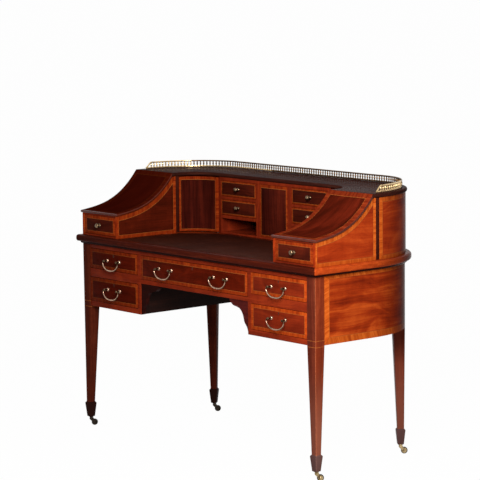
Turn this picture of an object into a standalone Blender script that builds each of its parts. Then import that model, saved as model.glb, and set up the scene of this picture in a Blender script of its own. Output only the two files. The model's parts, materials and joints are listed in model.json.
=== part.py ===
"""A Carlton House desk: a bow-backed writing desk on tapering legs with castors.

Metres, +Z up.  The desk stands on z = 0 with its front towards -Y, and x = 0 is its middle.
A place "from the front" is a distance along +Y from the plane of the drawer fronts.
"""

import math

import bmesh
import bpy
from mathutils import Matrix, Vector

# Overall sizes
case_width = 1.360
case_depth = 0.600
writing_height = 0.765
top_thickness = 0.0255
top_overhang = 0.024
top_edge_round = 0.010
top_corner_round = 0.013
under_mould_height = 0.0085
under_mould_overhang = 0.012

# Plan of the case: a straight side, then a quarter ellipse into the straight back
side_beyond_sweep = 0.018
corner_reach = 0.256
corner_steps = 12
arc_steps = 5

# Clearances
fit_gap = 0.0003
curve_gap = 0.0008
leg_joint_gap = 0.0018
drawer_gap = 0.0015
runner_gap = 0.0005
door_gap = 0.0005
cut_overrun = 0.004
joint_lap = 0.004
weld_distance = 0.00003

# Writing surface
leather_thickness = 0.0012
leather_border = 0.020
leather_front_border = 0.025

# Legs
leg_size = 0.044
leg_proud = 0.0015
leg_outer_taper = 0.002
leg_foot_size = 0.0243
leg_foot_top = 0.096
spade_width = 0.0335
spade_tip_width = 0.0225
spade_bevel = 0.005
spade_bottom = 0.036
rear_leg_angle = math.radians(60.0)

# Castors
wheel_radius = 0.0125
wheel_width = 0.009
wheel_edge_round = 0.0015
axle_radius = 0.0020
axle_play = 0.0001
wheel_side_play = 0.0004
castor_trail = 0.014
castor_direction = math.radians(50.0)
fork_cheek = 0.0018
fork_end_radius = 0.0050
fork_end_start = math.radians(-130.0)
fork_end_turn = math.radians(170.0)
castor_plate_radius = 0.0100
castor_plate_thickness = 0.0030
castor_neck_radius = 0.0060
wheel_crown_gap = 0.0010

# Lower case, heights of its rails and openings from the top down
top_rail = 0.015
upper_opening = 0.080
middle_rail = 0.034
lower_opening = 0.096
bottom_rail = 0.021
centre_rail = 0.016
centre_opening = 0.094
rail_depth = 0.022
stile_width = 0.017
kneehole_width = 0.632
bracket_width = 0.108
# From the rail down: share of the bracket's width, share of its drop
bracket_shares = [(1.0, 0.0), (0.96, 0.075), (0.84, 0.17), (0.75, 0.20), (0.62, 0.22), (0.49, 0.25),
                  (0.39, 0.315), (0.31, 0.415), (0.26, 0.53), (0.22, 0.65), (0.16, 0.715), (0.08, 0.80),
                  (0.03, 0.92), (0.0, 1.0)]
panel_thickness = 0.014
board_thickness = 0.012
board_back_space = 0.150

# Drawers
drawer_back_space = 0.070
front_thickness = 0.018
lining_thickness = 0.009
bottom_thickness = 0.006
lining_drop = 0.008

# Drop handles
handle_span = 0.075
handle_down = 0.0405
post_reach = 0.0215
post_head_radius = 0.0040
bail_radius = 0.0019
bail_drop = 0.037
bail_bulge = 0.009
bail_pin = 0.0025
bail_square_share = 0.75
handle_inset = 0.162
# Each post from its tip: share of the head's radius, share of the reach
post_shares = [(0.0, 1.0), (0.70, 0.955), (1.0, 0.81), (0.70, 0.67), (0.55, 0.60), (0.55, 0.36),
               (1.0, 0.28), (1.60, 0.18), (1.875, 0.06)]

# Superstructure
box_width = 0.222
upper_reach = 0.003
wall_thickness = 0.012
lid_start_height = 0.097
sweep_rise = 0.141
sweep_straight_share = 0.25
lid_thickness = 0.010
lid_overhang = 0.007
sweep_steps = 12
side_wall_end = 0.019
outer_post_width = 0.017
inner_post_width = 0.017
post_thickness = 0.012
box_floor = 0.006
box_opening = 0.075
box_drawer_back_space = 0.033
shelf_thickness = 0.0145
shelf_overhang = 0.0055
back_thickness = 0.012

# Rear range of small drawers, behind the writing surface
range_reach = 0.197
range_back_space = 0.020
corner_door_width = 0.1175
corner_door_depth = 0.0947
centre_opening_width = 0.161
centre_post_width = 0.0225
recess_stile = 0.004
recess_width = 0.022
recess_depth = 0.010
top_range_rail = 0.0125
small_opening = 0.063
between_rail = 0.011
under_rail = 0.012
range_bottom_rail = 0.007
small_front_thickness = 0.012
small_lining = 0.006
small_bottom = 0.004
small_drawer_back_space = 0.015
small_drawer_gap = 0.0012
door_thickness = 0.012
door_bottom_gap = 0.0035
door_steps = 10

# Knobs
knob_radius = 0.0102
knob_reach = 0.021
# From its tip: share of the knob's radius, share of its reach
knob_shares = [(0.0, 1.0), (0.55, 0.97), (0.92, 0.84), (1.0, 0.70), (0.80, 0.52), (0.43, 0.38),
               (0.43, 0.22), (0.73, 0.10)]

# Gallery
gallery_inset = 0.012
gallery_height = 0.028
gallery_thickness = 0.003
gallery_rail = 0.0045
spindle_width = 0.003
spindle_pitch = 0.013
gallery_slope = 0.026
gallery_start = 0.0346
gallery_fineness = 4

# Roundness of turned pieces
turned_steps = 12
wheel_steps = 20

half_width = case_width / 2
front_y = -case_depth / 2
back_y = case_depth / 2
board_low = writing_height - top_thickness
case_top = board_low - under_mould_height
leg_inner = leg_size - leg_proud
stile_centre = kneehole_width / 2 + stile_width / 2
short_opening_low = kneehole_width / 2 + stile_width
short_opening_high = half_width - leg_inner
upper_high = case_top - top_rail
upper_low = upper_high - upper_opening
lower_high = upper_low - middle_rail
lower_low = lower_high - lower_opening
case_bottom = lower_low - bottom_rail
board_depth = case_depth - board_back_space
drawer_depth = board_depth - drawer_back_space
rear_face = case_depth - range_reach
range_depth = range_reach - back_thickness - range_back_space
sweep_run = rear_face - corner_door_depth - inner_post_width - fit_gap - side_wall_end
side_run = sweep_run + side_beyond_sweep
corner_depth = case_depth - side_run
centre_low = upper_high - centre_opening
base_z = writing_height + fit_gap
shelf_top = writing_height + lid_start_height + sweep_rise
shelf_bottom = shelf_top - shelf_thickness
wall_top = shelf_bottom - fit_gap
box_inner_x = half_width - box_width
box_outer_x = half_width + upper_reach
side_wall_depth = sweep_run + side_wall_end
box_drawer_depth = side_wall_depth - wall_thickness - box_drawer_back_space
small_drawer_depth = range_depth - small_drawer_back_space
outer_post_end = side_wall_depth + fit_gap + outer_post_width
inner_post_end = side_wall_depth + fit_gap + inner_post_width
centre_post_x = centre_opening_width / 2
small_low_x = centre_post_x + centre_post_width
recess_high_x = box_inner_x - corner_door_width
recess_low_x = recess_high_x - recess_width
small_high_x = recess_low_x - recess_stile
upper_small_high = shelf_bottom - top_range_rail
upper_small_low = upper_small_high - small_opening
lower_small_high = upper_small_low - between_rail
lower_small_low = lower_small_high - small_opening

sides = {"left": -1, "right": 1}


def make_collection(name):
    collection = bpy.data.collections.new(name)
    bpy.context.scene.collection.children.link(collection)
    return collection


def make_material(name, colour, roughness, metallic=0.0):
    material = bpy.data.materials.new(name)
    material.use_nodes = True
    shader = material.node_tree.nodes["Principled BSDF"]
    shader.inputs["Base Color"].default_value = (*colour, 1.0)
    shader.inputs["Roughness"].default_value = roughness
    shader.inputs["Metallic"].default_value = metallic
    material.diffuse_color = (*colour, 1.0)
    return material


def evaluated_mesh(piece):
    """The mesh of an object with its modifiers or its curve's thickness, as welded faces."""
    bpy.context.view_layer.update()
    graph = bpy.context.evaluated_depsgraph_get()
    mesh = bpy.data.meshes.new_from_object(piece.evaluated_get(graph))
    data = piece.data
    bpy.data.objects.remove(piece)
    if isinstance(data, bpy.types.Curve):
        bpy.data.curves.remove(data)
    else:
        bpy.data.meshes.remove(data)
    work = bmesh.new()
    work.from_mesh(mesh)
    bmesh.ops.remove_doubles(work, verts=work.verts, dist=weld_distance)
    bmesh.ops.recalc_face_normals(work, faces=work.faces)
    work.to_mesh(mesh)
    work.free()
    return mesh


def add_piece(name, mesh, material, origin=(0.0, 0.0, 0.0)):
    """Put a mesh, made in the desk's place, into the desk, with its origin at a chosen point."""
    mesh.name = name
    mesh.transform(Matrix.Translation(-Vector(origin)))
    mesh.materials.clear()
    mesh.materials.append(material)
    piece = bpy.data.objects.new(name, mesh)
    piece.location = origin
    desk.objects.link(piece)
    return piece


def joined(meshes):
    """One mesh that holds several separate solids."""
    work = bmesh.new()
    for mesh in meshes:
        work.from_mesh(mesh)
        bpy.data.meshes.remove(mesh)
    result = bpy.data.meshes.new("joined")
    work.to_mesh(result)
    work.free()
    return result


def box_mesh(low, high):
    low, high = Vector(low), Vector(high)
    work = bmesh.new()
    place = Matrix.Translation((low + high) / 2) @ Matrix.Diagonal((*(high - low), 1))
    bmesh.ops.create_cube(work, size=1, matrix=place)
    mesh = bpy.data.meshes.new("box")
    work.to_mesh(mesh)
    work.free()
    return mesh


def mirrored_box(side, low, high):
    """A box given for the right-hand side of the desk, on the side asked for."""
    xs = sorted((side * low[0], side * high[0]))
    return box_mesh((xs[0], low[1], low[2]), (xs[1], high[1], high[2]))


def flat_mesh(outline, low, high, edge_round=0.0, round_steps=2, holes=()):
    """A flat outline in x and y, with any holes in it, made solid from one height to another."""
    curve = bpy.data.curves.new("outline", "CURVE")
    curve.dimensions = "2D"
    curve.fill_mode = "BOTH"
    curve.extrude = (high - low) / 2 - edge_round
    curve.bevel_depth = edge_round
    curve.bevel_resolution = round_steps
    for ring in (outline, *holes):
        spline = curve.splines.new("POLY")
        spline.points.add(len(ring) - 1)
        for point, place in zip(spline.points, ring):
            point.co = (place[0], place[1], 0, 1)
        spline.use_cyclic_u = True
    piece = bpy.data.objects.new("outline", curve)
    desk.objects.link(piece)
    mesh = evaluated_mesh(piece)
    mesh.transform(Matrix.Translation((0, 0, (low + high) / 2)))
    return mesh


def upright_mesh(outline, low_x, high_x):
    """An outline of places from front to back and heights, made solid from one x to another."""
    mesh = flat_mesh(outline, low_x, high_x)
    mesh.transform(Matrix(((0, 0, 1, 0), (1, 0, 0, 0), (0, 1, 0, 0), (0, 0, 0, 1))))
    return mesh


def facing_mesh(outline, low_y, high_y, holes=()):
    """An outline of x and height, made solid from one place to another behind the front."""
    mesh = flat_mesh(outline, -high_y, -low_y, holes=holes)
    mesh.transform(Matrix(((1, 0, 0, 0), (0, 0, -1, 0), (0, 1, 0, 0), (0, 0, 0, 1))))
    return mesh


def tube_mesh(route, radius, sides_resolution):
    curve = bpy.data.curves.new("tube", "CURVE")
    curve.dimensions = "3D"
    curve.bevel_depth = radius
    curve.bevel_resolution = sides_resolution
    curve.use_fill_caps = True
    spline = curve.splines.new("POLY")
    spline.points.add(len(route) - 1)
    for point, place in zip(spline.points, route):
        point.co = (*place, 1)
    piece = bpy.data.objects.new("tube", curve)
    desk.objects.link(piece)
    return evaluated_mesh(piece)


def turned_mesh(profile, steps=turned_steps):
    """A profile of radius and height, from its top to its bottom, turned about the z axis."""
    mesh = bpy.data.meshes.new("profile")
    rows = [(radius, 0, height) for radius, height in profile]
    edges = [(row, row + 1) for row in range(len(rows) - 1)]
    mesh.from_pydata(rows, edges, [])
    piece = bpy.data.objects.new("profile", mesh)
    desk.objects.link(piece)
    screw = piece.modifiers.new("turned", "SCREW")
    screw.steps = steps
    screw.render_steps = steps
    screw.use_merge_vertices = True
    screw.merge_threshold = weld_distance
    return evaluated_mesh(piece)


def facing_copy(mesh, place):
    """A copy of a turned mesh at a place, with its top towards the front."""
    copy = mesh.copy()
    copy.transform(Matrix.Translation(place) @ Matrix.Rotation(math.pi / 2, 4, "X"))
    return copy


def add_boolean(piece, mesh, operation, name):
    """Join or cut a piece with another mesh, which is kept as a hidden guide."""
    cutter = bpy.data.objects.new(name, mesh)
    cutter.hide_render = True
    cutter.display_type = "WIRE"
    cutters.objects.link(cutter)
    cutter.parent = piece
    cutter.matrix_parent_inverse = Matrix.Translation(-piece.location)
    change = piece.modifiers.new(name, "BOOLEAN")
    change.operation = operation
    change.object = cutter


def corner_point(angle, inset):
    """A point on the right-hand corner of the plan, set in from the case's outer face."""
    normal = corner_normal(angle)
    x = half_width - corner_reach + corner_reach * math.cos(angle) - inset * normal.x
    y = front_y + side_run + corner_depth * math.sin(angle) - inset * normal.y
    return x, y


def corner_normal(angle):
    return Vector((math.cos(angle) / corner_reach, math.sin(angle) / corner_depth)).normalized()


def corner_path(start, end, inset, steps=corner_steps):
    """Points along the right-hand corner between two angles of its ellipse."""
    return [corner_point(start + (end - start) * step / steps, inset) for step in range(steps + 1)]


def corner_angle(inset, coordinate, value):
    """The angle at which the inset corner passes a given x (0) or y (1)."""
    low, high = 0.0, math.pi / 2
    while high - low > 1e-7:
        middle = (low + high) / 2
        place = corner_point(middle, inset)[coordinate]
        ahead = place > value if coordinate == 0 else place < value
        low, high = (middle, high) if ahead else (low, middle)
    return low


def arc_angle(length, at):
    """The change of the ellipse's angle that moves a point along the curve by a length."""
    return length / math.hypot(corner_reach * math.sin(at), corner_depth * math.cos(at))


def mirrored(outline):
    return [(-x, y) for x, y in reversed(outline)]


def sweep_top(y):
    """Height of the swept lid's upper face at a distance from the front."""
    share = max(y, 0) / sweep_run
    rise_share = sweep_straight_share * share + (1 - sweep_straight_share) * share ** 3
    return writing_height + lid_start_height + sweep_rise * rise_share


def sweep_under(y, clearance=0.0):
    """Height of the lid's lower face, or of a face that clears it."""
    share = max(y, 0) / sweep_run
    slope_share = sweep_straight_share + 3 * (1 - sweep_straight_share) * share ** 2
    return sweep_top(y) - (lid_thickness + clearance) * math.hypot(1, slope_share * sweep_rise / sweep_run)


def make_top():
    """The desk's top board with its rounded edge and under-mould, and the leather let into it."""
    edge = top_overhang - top_edge_round
    corner = top_corner_round - top_edge_round
    right = []
    for step in range(arc_steps + 1):
        angle = math.pi / 2 * (step / arc_steps - 1)
        right.append((half_width + edge - corner + corner * math.cos(angle),
                      front_y - edge + corner + corner * math.sin(angle)))
    right += corner_path(0, math.pi / 2, -edge)
    mesh = flat_mesh(right + mirrored(right), board_low, writing_height, top_edge_round)
    top = add_piece("desk_top", mesh, mahogany)
    under = [(half_width + under_mould_overhang, front_y - under_mould_overhang)]
    under += corner_path(0, math.pi / 2, -under_mould_overhang)
    add_boolean(top, flat_mesh(under + mirrored(under), case_top, board_low + joint_lap), "UNION",
                "under_mould")

    x_side = box_inner_x - leather_border
    x_back = recess_high_x - leather_border
    y_front = front_y - top_overhang + leather_front_border
    y_door = front_y + inner_post_end - leather_border
    y_back = front_y + rear_face - leather_border
    leather_right = [(x_side, y_front), (x_side, y_door), (x_back, y_back)]
    outline = leather_right + mirrored(leather_right)
    low = writing_height - leather_thickness
    add_piece("writing_leather", flat_mesh(outline, low, writing_height), leather)
    wide_right = [(x_side + fit_gap, y_front - fit_gap), (x_side + fit_gap, y_door + fit_gap),
                  (x_back + fit_gap, y_back + fit_gap)]
    cut = flat_mesh(wide_right + mirrored(wide_right), low - fit_gap, writing_height + cut_overrun)
    add_boolean(top, cut, "DIFFERENCE", "leather_recess")


def leg_mesh(rear):
    """A square leg: an upright post, a taper that is steeper on its inner faces and a spade foot.

    The leg's outer faces lie at +x, and for a front leg also at -y, both at zero.
    """
    half, tip = leg_size / 2, leg_foot_size / 2
    spade, toe = spade_width / 2, spade_tip_width / 2
    foot = tip + leg_outer_taper
    rows = [(case_top - fit_gap, half, half), (case_bottom, half, half), (leg_foot_top, tip, foot),
            (leg_foot_top - spade_bevel, spade, foot), (spade_bottom, toe, foot)]
    work = bmesh.new()
    ring = []
    for height, reach, centre in rows:
        place = Matrix.Translation((-centre, 0 if rear else centre, height))
        turn = place @ Matrix.Rotation(math.pi / 4, 4, "Z")
        made = bmesh.ops.create_circle(work, segments=4, radius=reach * math.sqrt(2), matrix=turn)
        ring.append(made["verts"])
    for upper, lower in zip(ring, ring[1:]):
        loops = [edge for edge in work.edges if set(edge.verts) <= set(upper)]
        loops += [edge for edge in work.edges if set(edge.verts) <= set(lower)]
        bmesh.ops.bridge_loops(work, edges=loops)
    bmesh.ops.contextual_create(work, geom=ring[0])
    bmesh.ops.contextual_create(work, geom=ring[-1])
    bmesh.ops.recalc_face_normals(work, faces=work.faces)
    mesh = bpy.data.meshes.new("leg")
    work.to_mesh(mesh)
    work.free()
    return mesh


def leg_places():
    """Name, side, place of the outer face and turn of each leg."""
    normal = corner_normal(rear_leg_angle)
    rear = Vector(corner_point(rear_leg_angle, 0))
    rows = []
    for name, side in sides.items():
        front = Vector((half_width + leg_proud, front_y - leg_proud))
        rows.append((f"front_{name}", side, front, 0.0))
        rows.append((f"rear_{name}", side, rear, math.atan2(normal.y, normal.x)))
    return rows


def foot_centre(name, side, place, turn):
    inset = leg_foot_size / 2 + leg_outer_taper
    if name.startswith("front"):
        return Vector((side * (place.x - inset), place.y + inset))
    return Vector((side * (place.x - inset * math.cos(turn)), place.y - inset * math.sin(turn)))


def make_legs():
    for name, side, place, turn in leg_places():
        mesh = leg_mesh(name.startswith("rear"))
        mesh.transform(Matrix.Translation((place.x, place.y, 0)) @ Matrix.Rotation(turn, 4, "Z"))
        if side < 0:
            mesh.transform(Matrix.Scale(-1, 4, (1, 0, 0)))
            mesh.flip_normals()
        add_piece(f"leg_{name}", mesh, mahogany)


def fork_outline():
    """Side view of one cheek of a castor: from the neck down to a round end at the axle."""
    top = spade_bottom - fit_gap - castor_plate_thickness / 2
    crown = 2 * wheel_radius + wheel_crown_gap
    outline = [(-castor_neck_radius, top), (-castor_neck_radius, crown - castor_plate_thickness)]
    for step in range(arc_steps + 1):
        angle = fork_end_start + fork_end_turn * step / arc_steps
        outline.append((castor_trail + fork_end_radius * math.cos(angle),
                        wheel_radius + fork_end_radius * math.sin(angle)))
    outline.append((castor_neck_radius, crown))
    outline.append((castor_neck_radius, top))
    return outline


def make_castors():
    """Four castors: a swivelling fork under each foot and a wheel that turns on its axle."""
    plate_top = spade_bottom - fit_gap
    crown = 2 * wheel_radius + wheel_crown_gap
    inside = wheel_width / 2 + wheel_side_play
    edge, half = wheel_edge_round, wheel_width / 2
    bore = axle_radius + axle_play
    wheel_profile = [(bore, half), (wheel_radius - edge, half), (wheel_radius, half - edge),
                     (wheel_radius, -half + edge), (wheel_radius - edge, -half), (bore, -half),
                     (bore, half)]
    neck_profile = [(0, plate_top), (castor_plate_radius, plate_top),
                    (castor_plate_radius, plate_top - castor_plate_thickness / 2),
                    (inside + fork_cheek + fit_gap, plate_top - castor_plate_thickness),
                    (inside + fork_cheek + fit_gap, crown), (0, crown)]
    pin_half = inside + fork_cheek / 2
    pin_profile = [(0, pin_half), (axle_radius, pin_half), (axle_radius, -pin_half), (0, -pin_half)]
    to_side = Matrix.Rotation(math.pi / 2, 4, "X")
    for name, side, place, turn in leg_places():
        foot = foot_centre(name, side, place, turn)
        swing = Matrix.Translation((foot.x, foot.y, 0)) @ Matrix.Rotation(castor_direction, 4, "Z")
        axle = Matrix.Translation((castor_trail, 0, wheel_radius)) @ to_side
        neck = turned_mesh(neck_profile)
        neck.transform(swing)
        fork = add_piece(f"castor_fork_{name}", neck, brass, (foot.x, foot.y, plate_top))
        for cheek, start in (("near", -inside - fork_cheek), ("far", inside)):
            mesh = facing_mesh(fork_outline(), start, start + fork_cheek)
            mesh.transform(swing)
            add_boolean(fork, mesh, "UNION", f"{cheek}_cheek_{name}")
        pin = turned_mesh(pin_profile)
        pin.transform(swing @ axle)
        add_boolean(fork, pin, "UNION", f"axle_{name}")
        wheel = turned_mesh(wheel_profile, wheel_steps)
        wheel.transform(swing @ axle)
        add_piece(f"castor_wheel_{name}", wheel, brass, swing @ Vector((castor_trail, 0, wheel_radius)))


def make_front_frame():
    """Rails and stiles round the lower drawers, with the shaped brackets of the kneehole."""
    inner, stile = kneehole_width / 2, short_opening_low
    reach = short_opening_high - fit_gap
    rail_low = centre_low - centre_rail
    right = [(inner - bracket_width * along, rail_low - (rail_low - case_bottom) * down)
             for along, down in bracket_shares]
    right += [(reach, case_bottom), (reach, lower_low), (stile, lower_low), (stile, lower_high),
              (reach, lower_high), (reach, upper_low), (stile, upper_low), (stile, upper_high),
              (reach, upper_high), (reach, case_top - fit_gap)]
    opening = [(-inner, centre_low), (inner, centre_low), (inner, upper_high), (-inner, upper_high)]
    mesh = facing_mesh(right + mirrored(right), front_y, front_y + rail_depth, [opening])
    add_piece("front_frame", mesh, mahogany)


def wall_mesh(outer, inner, low, high):
    return flat_mesh(outer + list(reversed(inner)), low, high)


def make_panels():
    """The bowed ends between the front and rear legs, and the back between the rear legs."""
    top = case_top - fit_gap
    step = arc_angle(leg_size / 2 + leg_joint_gap, rear_leg_angle)
    start = (half_width, front_y + leg_inner + fit_gap)
    for name, side in sides.items():
        outer = [start] + corner_path(0, rear_leg_angle - step, 0)
        inner = [(start[0] - panel_thickness, start[1])]
        inner += corner_path(0, rear_leg_angle - step, panel_thickness)
        mesh = wall_mesh([(side * x, y) for x, y in outer], [(side * x, y) for x, y in inner],
                         case_bottom, top)
        add_piece(f"end_panel_{name}", mesh, figured_mahogany)
    outer = corner_path(rear_leg_angle + step, math.pi / 2, 0)
    inner = corner_path(rear_leg_angle + step, math.pi / 2, panel_thickness)
    mesh = wall_mesh(outer + mirrored(outer), inner + mirrored(inner), case_bottom, top)
    add_piece("back_panel", mesh, figured_mahogany)


def back_limit(x, thickness):
    """How far back a board at x may reach inside a curved wall of a given thickness."""
    inset = thickness + curve_gap
    if x <= half_width - corner_reach:
        return back_y - inset
    return corner_point(corner_angle(inset, 0, x), inset)[1]


def make_pedestals():
    """The upright sides of the kneehole, with the boards that the drawers run on housed in them."""
    near, far = stile_centre - board_thickness / 2, stile_centre + board_thickness / 2
    start = front_y + rail_depth + fit_gap
    end = front_y + board_depth
    inset = panel_thickness + curve_gap
    outline = [(far - joint_lap, start), (short_opening_high - fit_gap, start),
               (short_opening_high - fit_gap, front_y + leg_inner + fit_gap),
               (half_width - inset, front_y + leg_inner + fit_gap)]
    outline += corner_path(0, corner_angle(inset, 1, end), inset)
    outline.append((far - joint_lap, end))
    for name, side in sides.items():
        wall = mirrored_box(side, (near, start, case_bottom),
                            (far, back_limit(far, panel_thickness), case_top - fit_gap))
        pedestal = add_piece(f"pedestal_{name}", wall, mahogany)
        for level, top in (("lower", lower_low), ("upper", upper_low)):
            board = flat_mesh([(side * x, y) for x, y in outline], top - board_thickness, top)
            add_boolean(pedestal, board, "UNION", f"{level}_board_{name}")
    across = near - fit_gap
    board = box_mesh((-across, start, centre_low - board_thickness), (across, end, centre_low))
    add_piece("centre_board", board, mahogany)


def add_drawer(name, low_x, high_x, low_z, high_z, face, sizes):
    """A drawer that fills an opening: an open tray behind a front board."""
    gap, front, wall, floor, depth = sizes
    low = low_z + runner_gap
    left, right = low_x + gap, high_x - gap
    start, end = face + front, face + depth
    board = box_mesh((left, face, low_z + gap), (right, start, high_z - gap))
    drawer = add_piece(name, board, drawer_mahogany)
    tray = box_mesh((left, start - joint_lap, low), (right, end, high_z - gap - lining_drop))
    add_boolean(drawer, tray, "UNION", f"tray_{name}")
    hollow = box_mesh((left + wall, start + fit_gap, low + floor),
                      (right - wall, end - wall, high_z + cut_overrun))
    add_boolean(drawer, hollow, "DIFFERENCE", f"hollow_{name}")
    return drawer


def turned_from(shares, radius, reach, foot):
    """A turned piece on the z axis with its tip at its reach and a flat foot at a height."""
    profile = [(radius * wide, reach * out) for wide, out in shares]
    profile += [(profile[-1][0], foot), (0, foot)]
    return turned_mesh(profile)


def bail_route(centre_x, centre_z, pivot_y):
    """The swan-neck bail, from one post out, down and across to the other."""
    half = handle_span / 2
    start = half + post_head_radius + fit_gap
    right = [(start, 0.0), (start + bail_pin, 0.0)]
    wide = start + bail_pin
    for step in range(1, arc_steps + 1):
        angle = math.pi / 2 * step / arc_steps
        swell = bail_bulge / 2 * math.sin(math.pi * step / arc_steps)
        across = wide * math.cos(angle) ** bail_square_share + swell if step < arc_steps else 0.0
        right.append((across, -bail_drop * math.sin(angle)))
    left = [(-x, z) for x, z in reversed(right[:-1])]
    return [(centre_x + x, pivot_y, centre_z + z) for x, z in right + left]


def make_handles(drawer, name, centres, height, face):
    """Posts and bails of one drawer; each bail hangs from its pair of posts."""
    post = turned_from(post_shares, post_head_radius, post_reach, -joint_lap)
    posts = []
    pivot_y = face - post_reach + post_head_radius
    for centre in centres:
        for end in (-handle_span / 2, handle_span / 2):
            posts.append(facing_copy(post, (centre + end, face, height)))
    bpy.data.meshes.remove(post)
    add_boolean(drawer, joined(posts), "UNION", f"handle_posts_{name}")
    for number, centre in enumerate(centres):
        label = name if len(centres) == 1 else f"{name}_{('left', 'right')[number]}"
        mesh = tube_mesh(bail_route(centre, height, pivot_y), bail_radius, 1)
        add_piece(f"handle_bail_{label}", mesh, brass, (centre, pivot_y, height))


def make_lower_drawers():
    sizes = (drawer_gap, front_thickness, lining_thickness, bottom_thickness, drawer_depth)
    rows = {"upper": (upper_low, upper_high), "lower": (lower_low, lower_high)}
    middle = (short_opening_low + short_opening_high) / 2
    half = (short_opening_high - short_opening_low) / 2
    for name, side in sides.items():
        for level, (low, high) in rows.items():
            drawer = add_drawer(f"drawer_{level}_{name}", side * middle - half, side * middle + half,
                                low, high, front_y, sizes)
            make_handles(drawer, f"{level}_{name}", [side * middle], high - handle_down, front_y)
    inner = kneehole_width / 2
    drawer = add_drawer("drawer_centre", -inner, inner, centre_low, upper_high, front_y, sizes)
    make_handles(drawer, "centre", [-handle_inset, handle_inset], upper_high - handle_down, front_y)


def make_knob(name, x, face, height):
    knob = turned_from(knob_shares, knob_radius, knob_reach, fit_gap)
    add_piece(f"knob_{name}", facing_copy(knob, (x, face, height)), brass)
    bpy.data.meshes.remove(knob)


def make_side_boxes():
    """The two swept boxes at the ends of the writing surface, their drawers and their lids."""
    outer, inner = box_outer_x, box_inner_x
    far = front_y + sweep_run + fit_gap
    end = front_y + side_wall_depth
    ys = [sweep_run * step / sweep_steps for step in range(sweep_steps + 1)]
    block = [(front_y, base_z)]
    block += [(front_y + y, sweep_under(y, fit_gap)) for y in ys]
    block += [(far, sweep_under(sweep_run, fit_gap)), (far, wall_top), (end, wall_top), (end, base_z)]
    floor_top = base_z + box_floor
    ceiling = floor_top + box_opening
    post_end = front_y + outer_post_end
    post_outer = corner_point(corner_angle(-upper_reach, 1, post_end), -upper_reach)[0] - fit_gap
    hollow_low, hollow_high = inner + wall_thickness, outer - wall_thickness
    hollow_back = end - wall_thickness
    for name, side in sides.items():
        low_x, high_x = sorted((side * inner, side * outer))
        box = add_piece(f"side_box_{name}", upright_mesh(block, low_x, high_x), figured_mahogany)
        spaces = {"drawer_space": ((hollow_low, front_y - cut_overrun, floor_top),
                                   (hollow_high, hollow_back, ceiling)),
                  "lid_space": ((hollow_low, front_y + wall_thickness, ceiling + box_floor),
                                (hollow_high, hollow_back, wall_top + cut_overrun))}
        for space, corners in spaces.items():
            add_boolean(box, mirrored_box(side, *corners), "DIFFERENCE", f"{space}_{name}")
        posts = {"outer_post": ((post_outer - post_thickness, end - joint_lap, base_z + fit_gap),
                                (post_outer, post_end, wall_top - fit_gap)),
                 "inner_post": ((inner + fit_gap, end - joint_lap, base_z + fit_gap),
                                (inner + post_thickness, front_y + inner_post_end, wall_top - fit_gap))}
        for post, corners in posts.items():
            add_boolean(box, mirrored_box(side, *corners), "UNION", f"{post}_{name}")

        nose = lid_thickness / 2
        nose_y = nose - lid_overhang
        nose_z = sweep_top(0) - nose
        outline = []
        for step in range(arc_steps + 1):
            angle = -math.pi / 2 - math.pi * step / arc_steps
            outline.append((front_y + nose_y + nose * math.cos(angle), nose_z + nose * math.sin(angle)))
        later = [y for y in ys if y > nose_y]
        outline += [(front_y + y, sweep_top(y)) for y in later]
        outline += [(front_y + y, sweep_under(y)) for y in reversed(later)]
        low_x, high_x = sorted((side * (inner - shelf_overhang), side * (outer + shelf_overhang)))
        add_piece(f"lid_{name}", upright_mesh(outline, low_x, high_x), mahogany)

        sizes = (drawer_gap, small_front_thickness, small_lining, small_bottom, box_drawer_depth)
        low_x, high_x = sorted((side * hollow_low, side * hollow_high))
        add_drawer(f"box_drawer_{name}", low_x, high_x, floor_top, ceiling, front_y, sizes)
        make_knob(f"box_{name}", side * (inner + outer) / 2, front_y, (floor_top + ceiling) / 2)


def make_curved_back():
    """The tall curved wall behind the small drawers, from one dark post round to the other."""
    start = front_y + outer_post_end + fit_gap
    inset = back_thickness - upper_reach
    outer = corner_path(corner_angle(-upper_reach, 1, start), math.pi / 2, -upper_reach)
    inner = corner_path(corner_angle(inset, 1, start), math.pi / 2, inset)
    mesh = wall_mesh(outer + mirrored(outer), inner + mirrored(inner), base_z, wall_top)
    add_piece("curved_back", mesh, figured_mahogany)


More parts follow.
